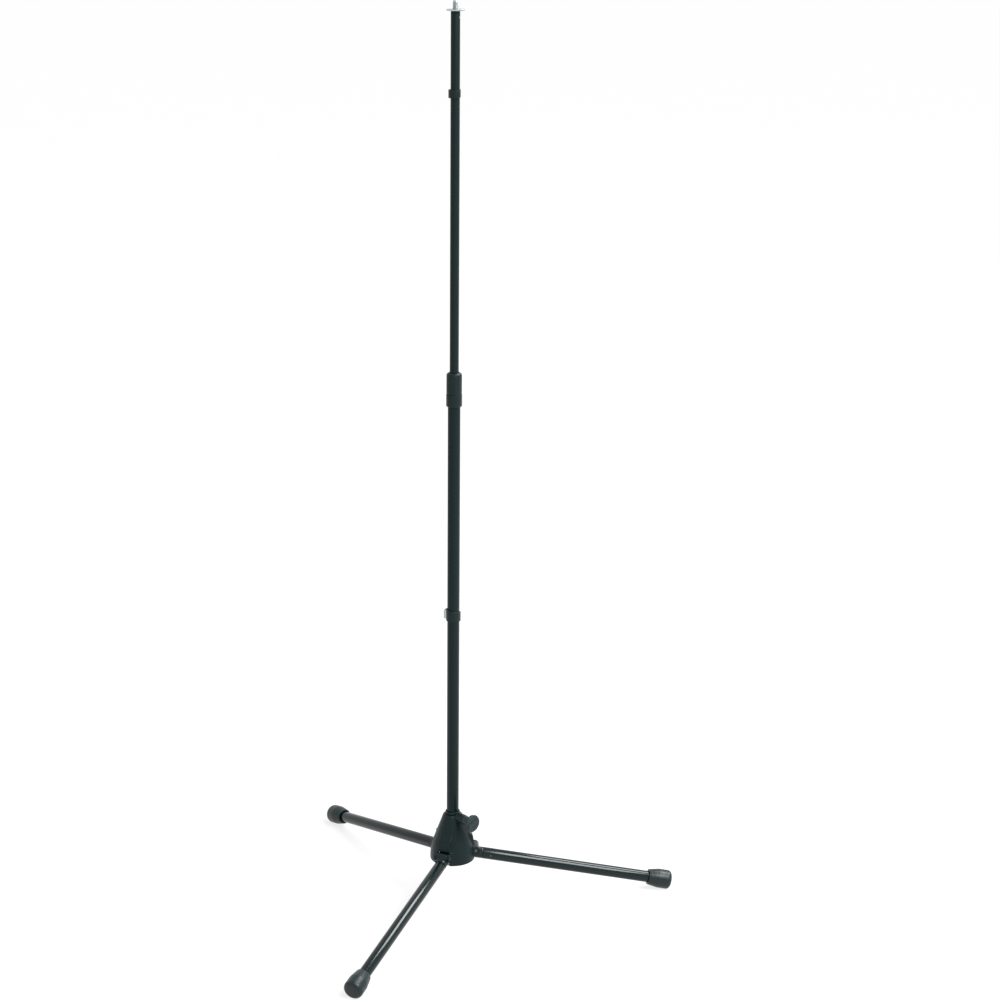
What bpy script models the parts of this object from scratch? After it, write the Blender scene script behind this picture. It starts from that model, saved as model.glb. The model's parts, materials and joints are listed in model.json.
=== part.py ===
"""Straight microphone stand with three folding legs and a telescoping two-piece mast.

Metres, +Z up. The stand rests on the plane Z = 0. The origin is the middle of its
footprint, and the mast stands on the line X = MAST_X, Y = 0. Leg 1 points along +X.
"""

import math

import bmesh
import bpy
from mathutils import Matrix, Vector

MM = 0.001

# Clearances
GAP = 0.3 * MM
MERGE_DISTANCE = 0.02 * MM

# Overall sizes
STAND_HEIGHT = 1605.0 * MM
LEG_COUNT = 3
LEG_REACH = 405.2 * MM
LEG_AXIS_DROP = 8.06 * MM
FOOT_AXIS_HEIGHT = 14.8 * MM

# Mast tubes
LOWER_TUBE_RADIUS = 10.75 * MM
LOWER_TUBE_WALL = 1.0 * MM
LOWER_TUBE_TOP = 955.0 * MM
UPPER_TUBE_RADIUS = 7.75 * MM
UPPER_TUBE_WALL = 1.0 * MM
UPPER_TUBE_OVERLAP = 56.0 * MM
TUBE_SEGMENTS = 28

# Hub casting, a bell with three slots
HUB_SKIRT_DROP = 16.6 * MM
HUB_RISE = 71.0 * MM
HUB_SKIRT_RADIUS = 40.6 * MM
HUB_NECK_WALL = 2.65 * MM
HUB_NECK_LENGTH = 27.0 * MM
HUB_LIP_HEIGHT = 2.6 * MM
HUB_LIP_WIDTH = 2.6 * MM
HUB_CONE_ANGLE = math.radians(20.1)
HUB_BELL_ROUND = 100.0 * MM
HUB_WALL = 4.0 * MM
HUB_EDGE_ROUND = 1.5 * MM
HUB_SEGMENTS = 48
HUB_CAVITY_SEGMENTS = 44
PAD_RISE = 29.0 * MM
PAD_TOP_RADIUS = 36.2 * MM
PAD_FADE = 12.0 * MM
PAD_HALF_WIDTH = 11.6 * MM

# Neck bush, the plastic sleeve in the hub's neck
BUSH_WALL = 1.0 * MM
BUSH_FLANGE_THICKNESS = 4.6 * MM
BUSH_FLANGE_WIDTH = 0.95 * MM

# Leg pivots
PIVOT_RADIUS = 41.0 * MM
PIVOT_HEIGHT = 98.0 * MM
PIVOT_PIN_RADIUS = 3.0 * MM
EAR_RADIUS = 8.5 * MM
EAR_THICKNESS = 4.5 * MM
EAR_ROOT_RADIUS = 30.0 * MM
PAD_ROOT_RADIUS = 24.0 * MM
SLOT_SIDE_GAP = 0.4 * MM
SLOT_TOP_GAP = 0.8 * MM
PIN_SEGMENTS = 16

# Leg knuckle, the cast end that carries the leg tube
KNUCKLE_COLLAR_LENGTH = 15.0 * MM
KNUCKLE_INNER_LENGTH = 14.0 * MM
KNUCKLE_SPIGOT_LENGTH = 30.0 * MM
NOSE_RADIUS = 20.0 * MM
NOSE_HALF_WIDTH = 8.0 * MM
NOSE_TOP_ANGLE = math.radians(136.0)
NOSE_BOTTOM_ANGLE = math.radians(246.0)
NOSE_SHOULDER = 1.4 * MM

# Leg tubes and their rivets
LEG_TUBE_RADIUS = 10.5 * MM
LEG_TUBE_WALL = 1.5 * MM
RIVET_RADIUS = 2.0 * MM

# Rubber feet
FOOT_LENGTH = 43.7 * MM
FOOT_RADIUS = 17.4 * MM
FOOT_RIM_RADIUS = 13.9 * MM
FOOT_END_WALL = 7.0 * MM
FOOT_END_ROUND = 7.0 * MM
FOOT_FLARE_LENGTH = 20.0 * MM
FOOT_RIM_ROUND = 1.0 * MM
FOOT_SEGMENTS = 28

# Spreader cone at the lower end of the mast
CONE_TOP_RADIUS = 24.4 * MM
CONE_SEAT_ANGLE = math.radians(30.0)
CONE_BOTTOM_RADIUS = 12.0 * MM
CONE_RIM_HEIGHT = 2.0 * MM
CONE_SPIGOT_LENGTH = 26.0 * MM
CONE_BORE_RADIUS = 5.0 * MM

# Clamp on the hub's neck
CLAMP_DROP = 2.8 * MM
CLAMP_AZIMUTH = math.radians(-55.0)
CLAMP_BOSS_RADIUS = 8.8 * MM
CLAMP_BOSS_END = 34.0 * MM
CLAMP_SCREW_RADIUS = 4.0 * MM
CLAMP_PAD_LENGTH = 4.4 * MM
KNOB_STEM_RADIUS = 8.6 * MM
KNOB_STEM_LENGTH = 13.0 * MM
KNOB_FLARE_LENGTH = 4.2 * MM
KNOB_DISC_RADIUS = 16.4 * MM
KNOB_DISC_LENGTH = 4.6 * MM
KNOB_EDGE = 1.2 * MM
KNOB_FLUTES = 10
KNOB_FLUTE_RADIUS = 3.4 * MM
KNOB_FLUTE_DEPTH = 1.0 * MM
KNOB_BORE_DEPTH = 17.0 * MM
KNOB_BAR_LENGTH = 25.0 * MM
KNOB_BAR_WIDTH = 5.2 * MM
KNOB_BAR_HEIGHT = 3.8 * MM
KNOB_BAR_TURN = math.radians(18.0)

# Height clutch
CLUTCH_SOCKET_DEPTH = 28.0 * MM
CLUTCH_HOUSING_LENGTH = 21.0 * MM
CLUTCH_GRIP_LENGTH = 38.0 * MM
CLUTCH_THREAD_LENGTH = 20.0 * MM
CLUTCH_THREAD_WALL = 1.3 * MM
CLUTCH_HOUSING_STEP = 1.8 * MM
CLUTCH_GRIP_STEP = 0.4 * MM
CLUTCH_BEVEL_HEIGHT = 6.0 * MM
CLUTCH_MOUTH_WALL = 1.75 * MM
CLUTCH_LIP_THICKNESS = 5.0 * MM
COLLET_RISE = 2.5 * MM
COLLET_TIP_WALL = 0.85 * MM
COLLET_TAPER = 1.4 * MM
COLLET_SLOTS = 4
COLLET_SLOT_WIDTH = 1.4 * MM
TAPER_DEPTH = 7.0 * MM

# Guide plug at the foot of the upper tube
GUIDE_CAP = 5.0 * MM

# Cross pins through tubes
CROSS_PIN_RADIUS = 1.5 * MM
CONE_PIN_RISE = 15.0 * MM
GUIDE_PIN_RISE = 13.0 * MM
STUD_PIN_DROP = 10.2 * MM
STUD_PIN_AZIMUTH = math.radians(-30.0)

# Threaded stud and lock disc, for a 3/8 inch microphone clip
STUD_RADIUS = 4.76 * MM
STUD_THREAD_DEPTH = 0.55 * MM
STUD_PITCH = 1.5875 * MM
STUD_LENGTH = 15.0 * MM
STUD_SPIGOT_LENGTH = 26.0 * MM
DISC_RADIUS = 15.0 * MM
DISC_THICKNESS = 2.5 * MM
DISC_KNURLS = 36
DISC_KNURL_DEPTH = 0.35 * MM

# Cable clips
UPPER_CLIP_LENGTH = 13.6 * MM
UPPER_CLIP_DROP = 150.6 * MM
UPPER_CLIP_WALL = 3.25 * MM
UPPER_CLIP_OPENING = math.radians(84.0)
UPPER_HOOK_AZIMUTH = math.radians(84.3)
LOWER_CLIP_HEIGHT = 549.4 * MM
LOWER_CLIP_LENGTH = 17.0 * MM
LOWER_CLIP_WALL = 1.85 * MM
LOWER_CLIP_OPENING = math.radians(88.0)
LOWER_HOOK_AZIMUTH = math.radians(128.6)
LOWER_CLIP_SLANT = math.radians(10.0)
HOOK_BORE_RADIUS = 3.6 * MM
HOOK_WALL = 1.2 * MM
HOOK_MOUTH = math.radians(70.0)
HOOK_LENGTH = 16.0 * MM
CLIP_RIVET_RADIUS = 1.1 * MM
CLIP_SEGMENTS = 30

# Worked out from the sizes above
LEG_AXIS_AT_PIVOT = PIVOT_HEIGHT - LEG_AXIS_DROP
LEG_SLOPE = math.atan2(LEG_AXIS_AT_PIVOT - FOOT_AXIS_HEIGHT, LEG_REACH - PIVOT_RADIUS)
SLOPE_COS = math.cos(LEG_SLOPE)
SLOPE_SIN = math.sin(LEG_SLOPE)
LEG_DROP = LEG_AXIS_DROP * SLOPE_COS
LEG_END = (LEG_REACH - PIVOT_RADIUS + LEG_DROP * SLOPE_SIN) / SLOPE_COS
LEG_STEP = 2.0 * math.pi / LEG_COUNT
HALF_STEP = LEG_STEP / 2.0
FOOT_CORE = FOOT_RADIUS - FOOT_END_ROUND
FOOT_CENTRE = LEG_REACH - FOOT_END_ROUND * SLOPE_COS
FOOTPRINT_FRONT = FOOT_CENTRE + FOOT_CORE * SLOPE_SIN + FOOT_END_ROUND
FOOTPRINT_BACK = (
    FOOT_CENTRE * math.cos(HALF_STEP)
    + FOOT_CORE * math.hypot(math.cos(HALF_STEP) * SLOPE_SIN, math.sin(HALF_STEP))
    + FOOT_END_ROUND
)
MAST_X = -(FOOTPRINT_FRONT - FOOTPRINT_BACK) / 2.0
SLOT_HALF_WIDTH = LEG_TUBE_RADIUS + SLOT_SIDE_GAP
EAR_OUTER = SLOT_HALF_WIDTH + EAR_THICKNESS
LOWER_TUBE_BORE = LOWER_TUBE_RADIUS - LOWER_TUBE_WALL
UPPER_TUBE_BORE = UPPER_TUBE_RADIUS - UPPER_TUBE_WALL
BUSH_BORE = LOWER_TUBE_RADIUS + GAP
BUSH_RADIUS = BUSH_BORE + BUSH_WALL
BUSH_FLANGE_RADIUS = BUSH_RADIUS + BUSH_FLANGE_WIDTH
NECK_BORE = BUSH_RADIUS + GAP
HUB_NECK_RADIUS = NECK_BORE + HUB_NECK_WALL
HUB_SHOULDER_RADIUS = HUB_NECK_RADIUS + HUB_LIP_WIDTH
HUB_BOTTOM = PIVOT_HEIGHT - HUB_SKIRT_DROP
HUB_TOP = PIVOT_HEIGHT + HUB_RISE
HUB_CAVITY_TOP = HUB_TOP - HUB_NECK_LENGTH
PAD_TOP = PIVOT_HEIGHT + PAD_RISE
CLAMP_HEIGHT = HUB_TOP - CLAMP_DROP
BUSH_FLANGE_TOP = HUB_TOP + GAP + BUSH_FLANGE_THICKNESS
DISC_TOP = STAND_HEIGHT - STUD_LENGTH
UPPER_TUBE_TOP = DISC_TOP - DISC_THICKNESS - GAP
UPPER_TUBE_BOTTOM = LOWER_TUBE_TOP - UPPER_TUBE_OVERLAP
GUIDE_BOTTOM = UPPER_TUBE_BOTTOM - GAP - GUIDE_CAP
CLUTCH_BORE = UPPER_TUBE_RADIUS + GAP
COLLET_TIP_RADIUS = CLUTCH_BORE + COLLET_TIP_WALL
COLLET_RADIUS = COLLET_TIP_RADIUS + COLLET_TAPER
COLLET_BOTTOM = LOWER_TUBE_TOP + COLLET_RISE
CLUTCH_THREAD_RADIUS = COLLET_RADIUS + GAP + CLUTCH_THREAD_WALL
CLUTCH_HOUSING_RADIUS = CLUTCH_THREAD_RADIUS + CLUTCH_HOUSING_STEP
CLUTCH_GRIP_RADIUS = CLUTCH_HOUSING_RADIUS - CLUTCH_GRIP_STEP
CLUTCH_BOTTOM = LOWER_TUBE_TOP - CLUTCH_SOCKET_DEPTH
CLUTCH_SPLIT = CLUTCH_BOTTOM + CLUTCH_HOUSING_LENGTH
CLUTCH_THREAD_TOP = CLUTCH_SPLIT + CLUTCH_THREAD_LENGTH
CLUTCH_TOP = CLUTCH_SPLIT + CLUTCH_GRIP_LENGTH
CONE_SLOPE = math.tan(math.pi / 2.0 - CONE_SEAT_ANGLE)
CONE_SEAT_RADIUS = PIVOT_RADIUS - (NOSE_RADIUS + GAP) * math.cos(CONE_SEAT_ANGLE)
CONE_SEAT_HEIGHT = PIVOT_HEIGHT + (NOSE_RADIUS + GAP) * math.sin(CONE_SEAT_ANGLE)
CONE_EDGE_HEIGHT = CONE_SEAT_HEIGHT + (CONE_TOP_RADIUS - CONE_SEAT_RADIUS) * CONE_SLOPE
CONE_TOP = CONE_EDGE_HEIGHT + CONE_RIM_HEIGHT
CONE_BOTTOM = CONE_SEAT_HEIGHT - (CONE_SEAT_RADIUS - CONE_BOTTOM_RADIUS) * CONE_SLOPE
LOWER_TUBE_BOTTOM = CONE_TOP + GAP


def start_clean():
    """Remove what the scene holds, and return the two collections of the stand."""
    for old in list(bpy.data.objects):
        bpy.data.objects.remove(old, do_unlink=True)
    parts = bpy.data.collections.new("microphone_stand")
    cutters = bpy.data.collections.new("cutters")
    bpy.context.scene.collection.children.link(parts)
    bpy.context.scene.collection.children.link(cutters)
    return parts, cutters


PARTS, CUTTERS = start_clean()


def make_material(name, colour, roughness, metallic):
    material = bpy.data.materials.new(name)
    material.use_nodes = True
    shader = material.node_tree.nodes["Principled BSDF"]
    shader.inputs["Base Color"].default_value = (*colour, 1.0)
    shader.inputs["Roughness"].default_value = roughness
    shader.inputs["Metallic"].default_value = metallic
    return material


MATERIALS = {
    "black_cast": make_material("black_cast", (0.018, 0.022, 0.023), 0.45, 0.0),
    "black_paint": make_material("black_paint", (0.011, 0.014, 0.015), 0.3, 0.0),
    "gloss_paint": make_material("gloss_paint", (0.008, 0.010, 0.011), 0.15, 0.0),
    "black_plastic": make_material("black_plastic", (0.014, 0.017, 0.018), 0.4, 0.0),
    "black_rubber": make_material("black_rubber", (0.032, 0.036, 0.037), 0.6, 0.0),
    "zinc": make_material("zinc", (0.55, 0.57, 0.58), 0.3, 1.0),
    "dark_steel": make_material("dark_steel", (0.05, 0.052, 0.055), 0.4, 1.0),
}


def make_empty(name, location=(0.0, 0.0, 0.0), turn=0.0, parent=None):
    """An empty at a joint, turned about the vertical."""
    empty = bpy.data.objects.new(name, None)
    PARTS.objects.link(empty)
    empty.location = location
    empty.rotation_euler = (0.0, 0.0, turn)
    empty.parent = parent
    return empty


def adopt(obj, material, parent, place=None, cutter=False):
    """Give an object its collection, parent, place and material."""
    home = CUTTERS if cutter else PARTS
    for other in list(obj.users_collection):
        other.objects.unlink(obj)
    home.objects.link(obj)
    obj.parent = parent
    if place is not None:
        obj.matrix_local = place
    if cutter:
        obj.hide_render = True
        obj.display_type = "WIRE"
    else:
        obj.data.materials.clear()
        obj.data.materials.append(MATERIALS[material])
    return obj


def turned(name, profile, material, parent, segments, place=None, cutter=False):
    """A turned piece. The profile holds (radius, height) points, down the outer side.

    A profile whose ends lie on the axis makes a solid, and any other is closed
    into a ring.
    """
    mesh = bpy.data.meshes.new(name)
    points = [(radius, 0.0, height) for radius, height in profile]
    edges = [(i, i + 1) for i in range(len(points) - 1)]
    is_ring = profile[0][0] > 0.0 or profile[-1][0] > 0.0
    if is_ring:
        edges.append((len(points) - 1, 0))
    mesh.from_pydata(points, edges, [])
    obj = bpy.data.objects.new(name, mesh)
    screw = obj.modifiers.new("turn", "SCREW")
    screw.axis = "Z"
    screw.angle = 2.0 * math.pi
    screw.steps = segments
    screw.render_steps = segments
    screw.use_merge_vertices = True
    screw.merge_threshold = MERGE_DISTANCE
    screw.use_smooth_shade = True
    return adopt(obj, material, parent, place, cutter)


def tube(name, outer, bore, bottom, top, material, parent, segments=TUBE_SEGMENTS, place=None):
    profile = [(outer, top), (outer, bottom), (bore, bottom), (bore, top)]
    return turned(name, profile, material, parent, segments, place)


def rod(name, radius, bottom, top, material, parent, segments=PIN_SEGMENTS, place=None, cutter=False):
    profile = [(0.0, top), (radius, top), (radius, bottom), (0.0, bottom)]
    return turned(name, profile, material, parent, segments, place, cutter)


def box(name, low, high, parent, place=None):
    """A box cutter between two corners."""
    mesh = bpy.data.meshes.new(name)
    shape = bmesh.new()
    size = Vector(high) - Vector(low)
    middle = (Vector(high) + Vector(low)) / 2.0
    matrix = Matrix.Translation(middle) @ Matrix.Diagonal((*size, 1.0))
    bmesh.ops.create_cube(shape, size=1.0, matrix=matrix)
    shape.to_mesh(mesh)
    shape.free()
    return adopt(bpy.data.objects.new(name, mesh), None, parent, place, cutter=True)


def plate(name, outline, half_thickness, material, parent, place=None, cutter=False):
    """A flat outline in the local XY plane, as thick as twice the half given."""
    curve = bpy.data.curves.new(name, "CURVE")
    curve.dimensions = "2D"
    curve.fill_mode = "BOTH"
    curve.extrude = half_thickness
    spline = curve.splines.new("POLY")
    spline.points.add(len(outline) - 1)
    for point, (x, y) in zip(spline.points, outline):
        point.co = (x, y, 0.0, 1.0)
    spline.use_cyclic_u = True
    source = bpy.data.objects.new(name + "_outline", curve)
    CUTTERS.objects.link(source)
    bpy.context.view_layer.update()
    evaluated = source.evaluated_get(bpy.context.evaluated_depsgraph_get())
    mesh = bpy.data.meshes.new_from_object(evaluated)
    bpy.data.objects.remove(source, do_unlink=True)
    shape = bmesh.new()
    shape.from_mesh(mesh)
    bmesh.ops.remove_doubles(shape, verts=shape.verts, dist=MERGE_DISTANCE)
    bmesh.ops.recalc_face_normals(shape, faces=shape.faces)
    shape.to_mesh(mesh)
    shape.free()
    mesh.name = name
    return adopt(bpy.data.objects.new(name, mesh), material, parent, place, cutter)


def combine(obj, tool, operation):
    modifier = obj.modifiers.new(operation.lower(), "BOOLEAN")
    modifier.operation = operation
    modifier.solver = "EXACT"
    modifier.object = tool


def cut(obj, *tools):
    for tool in tools:
        combine(obj, tool, "DIFFERENCE")


def join(obj, *tools):
    for tool in tools:
        combine(obj, tool, "UNION")


def arc(centre, radius, start, end, steps):
    """Points on an arc, from one angle to another, both ends included."""
    points = []
    for i in range(steps + 1):
        angle = start + (end - start) * i / steps
        x = centre[0] + radius * math.cos(angle)
        y = centre[1] + radius * math.sin(angle)
        points.append((x, y))
    return points


def stadium(length, width):
    """The outline of a bar with round ends, along the local X axis."""
    reach = (length - width) / 2.0
    right = arc((reach, 0.0), width / 2.0, -math.pi / 2.0, math.pi / 2.0, 6)
    left = arc((-reach, 0.0), width / 2.0, math.pi / 2.0, math.pi * 1.5, 6)
    return right + left


def along(direction, origin=(0.0, 0.0, 0.0)):
    """A matrix that carries the local Z axis to a direction, at an origin."""
    turn = Vector(direction).to_track_quat("Z", "Y").to_matrix().to_4x4()
    return Matrix.Translation(origin) @ turn


STAND = make_empty("mast_axis", (MAST_X, 0.0, 0.0))
ACROSS_LEG = along((0.0, 1.0, 0.0))


# Hub casting

def hub_outline():
    """The bell's outer side, from the neck's top down to the skirt's lower edge."""
    cone_top = HUB_TOP - HUB_LIP_HEIGHT
    corner_height = cone_top - (HUB_SKIRT_RADIUS - HUB_SHOULDER_RADIUS) / math.tan(HUB_CONE_ANGLE)
    tangent = HUB_BELL_ROUND * math.tan(HUB_CONE_ANGLE / 2.0)
    centre = (HUB_SKIRT_RADIUS - HUB_BELL_ROUND, corner_height - tangent)
    bell = arc(centre, HUB_BELL_ROUND, HUB_CONE_ANGLE, 0.0, 4)
    edge_centre = (HUB_SKIRT_RADIUS - HUB_EDGE_ROUND, HUB_BOTTOM + HUB_EDGE_ROUND)
    edge = arc(edge_centre, HUB_EDGE_ROUND, 0.0, -math.pi / 2.0, 3)
    lip = [(0.0, HUB_TOP), (HUB_NECK_RADIUS, HUB_TOP), (HUB_SHOULDER_RADIUS, cone_top)]
    return lip + bell + edge + [(0.0, HUB_BOTTOM)]


def cavity_outline():
    """The bell's inner side and the neck's bore, as one stepped cutter."""
    inner_radius = HUB_SKIRT_RADIUS - HUB_WALL
    cone_top = HUB_TOP - HUB_LIP_HEIGHT
    slant_wall = HUB_WALL / math.cos(HUB_CONE_ANGLE)
    run = math.tan(HUB_CONE_ANGLE)
    top_radius = HUB_SHOULDER_RADIUS + (cone_top - HUB_CAVITY_TOP) * run - slant_wall
    side_top = HUB_CAVITY_TOP - (inner_radius - top_radius) / run - HUB_WALL
    above = HUB_TOP + HUB_WALL
    below = HUB_BOTTOM - HUB_WALL
    return [
        (0.0, above),
        (NECK_BORE, above),
        (NECK_BORE, HUB_CAVITY_TOP),
        (top_radius, HUB_CAVITY_TOP),
        (inner_radius, side_top),
        (inner_radius, below),
        (0.0, below),
    ]


def ear_outline():
    """The round ears of a leg, about its pivot."""
    pivot = (PIVOT_RADIUS, PIVOT_HEIGHT)
    round_end = arc(pivot, EAR_RADIUS, -math.pi / 2.0, math.pi / 2.0, 8)
    root_top = (EAR_ROOT_RADIUS, PIVOT_HEIGHT + EAR_RADIUS)
    root_bottom = (EAR_ROOT_RADIUS, PIVOT_HEIGHT - EAR_RADIUS)
    return round_end + [root_top, root_bottom]


def pad_outline():
    """The raised pad above the ears, which fades into the bell."""
    return [
        (PAD_ROOT_RADIUS, PIVOT_HEIGHT),
        (PIVOT_RADIUS - SLOT_TOP_GAP, PIVOT_HEIGHT),
        (PAD_TOP_RADIUS, PAD_TOP),
        (PAD_TOP_RADIUS - PAD_FADE, PAD_TOP + PAD_FADE),
        (PAD_ROOT_RADIUS, PAD_TOP),
    ]


def slot_outline():
    """The way of a leg through the bell, open downward, with the shallow way of a folded tube."""
    slot_top = PIVOT_HEIGHT + EAR_RADIUS + SLOT_TOP_GAP
    slot_root = PIVOT_RADIUS - NOSE_RADIUS - GAP
    fold_radius = PIVOT_RADIUS + LEG_DROP - LEG_TUBE_RADIUS - GAP
    outside = HUB_SKIRT_RADIUS + EAR_RADIUS * 2.0
    below = HUB_BOTTOM - HUB_WALL
    return [
        (slot_root, below),
        (outside, below),
        (outside, HUB_TOP),
        (fold_radius, HUB_TOP),
        (fold_radius, slot_top),
        (slot_root, slot_top),
    ]


def make_hub():
    hub = turned("hub", hub_outline(), "black_cast", STAND, HUB_SEGMENTS)
    cavity = turned(
        "hub_cavity", cavity_outline(), None, STAND, HUB_CAVITY_SEGMENTS, cutter=True,
    )
    clamp_way = Vector((math.cos(CLAMP_AZIMUTH), math.sin(CLAMP_AZIMUTH), 0.0))
    clamp_place = along(clamp_way, (0.0, 0.0, CLAMP_HEIGHT))
    edge = KNOB_EDGE / 2.0
    boss_profile = [
        (0.0, CLAMP_BOSS_END),
        (CLAMP_BOSS_RADIUS - edge, CLAMP_BOSS_END),
        (CLAMP_BOSS_RADIUS, CLAMP_BOSS_END - edge),
        (CLAMP_BOSS_RADIUS, HUB_NECK_RADIUS + GAP),
        (0.0, HUB_NECK_RADIUS + GAP),
    ]
    boss = turned(
        "hub_clamp_boss", boss_profile, None, STAND, TUBE_SEGMENTS, clamp_place, cutter=True,
    )
    screw_hole = rod(
        "hub_screw_hole", CLAMP_SCREW_RADIUS + GAP, LOWER_TUBE_RADIUS / 2.0,
        CLAMP_BOSS_END + HUB_WALL, None, STAND, place=clamp_place, cutter=True,
    )
    join(hub, boss)
    upright = Matrix.Rotation(math.pi / 2.0, 4, "X")
    leg_cutters = []
    for number in range(1, LEG_COUNT + 1):
        seat = make_empty(f"hub_leg_seat_{number}", turn=(number - 1) * LEG_STEP, parent=STAND)
        ears = plate(
            f"hub_ears_{number}", ear_outline(), EAR_OUTER, None, seat, upright, cutter=True,
        )
        slot = plate(
            f"hub_slot_{number}", slot_outline(), SLOT_HALF_WIDTH, None, seat, upright, cutter=True,
        )
        pin_hole = rod(
            f"hub_pin_hole_{number}", PIVOT_PIN_RADIUS + GAP, -EAR_OUTER - HUB_WALL,
            EAR_OUTER + HUB_WALL, None, seat,
            place=Matrix.Translation((PIVOT_RADIUS, 0.0, PIVOT_HEIGHT)) @ ACROSS_LEG, cutter=True,
        )
        pad = plate(
            f"hub_pad_{number}", pad_outline(), PAD_HALF_WIDTH, None, seat, upright, cutter=True,
        )
        join(hub, ears, pad)
        leg_cutters += [slot, pin_hole]
    cut(hub, cavity, screw_hole, *leg_cutters)


def make_neck_bush():
    seat = HUB_TOP + GAP
    bottom = HUB_CAVITY_TOP + GAP
    profile = [
        (BUSH_FLANGE_RADIUS, BUSH_FLANGE_TOP),
        (BUSH_FLANGE_RADIUS, seat),
        (BUSH_RADIUS, seat),
        (BUSH_RADIUS, bottom),
        (BUSH_BORE, bottom),
        (BUSH_BORE, BUSH_FLANGE_TOP),
    ]
    bush = turned("neck_bush", profile, "black_plastic", STAND, TUBE_SEGMENTS)
    clamp_way = Vector((math.cos(CLAMP_AZIMUTH), math.sin(CLAMP_AZIMUTH), 0.0))
    hole = rod(
        "bush_pad_hole", CLAMP_SCREW_RADIUS + GAP, 0.0, HUB_SHOULDER_RADIUS, None, STAND,
        place=along(clamp_way, (0.0, 0.0, CLAMP_HEIGHT)), cutter=True,
    )
    cut(bush, hole)


# Legs

def knuckle_outline():
    """The round nose behind the pivot, in the plane of the leg, about the pivot."""
    nose = arc((0.0, 0.0), NOSE_RADIUS, NOSE_TOP_ANGLE, NOSE_BOTTOM_ANGLE, 16)
    half = EAR_RADIUS / 2.0
    shoulder = EAR_RADIUS + NOSE_SHOULDER
    top_way = (math.cos(NOSE_TOP_ANGLE), math.sin(NOSE_TOP_ANGLE))
    root = [(half, -EAR_RADIUS), (half, half), (shoulder * top_way[0], shoulder * top_way[1])]
    return nose + root


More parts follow.
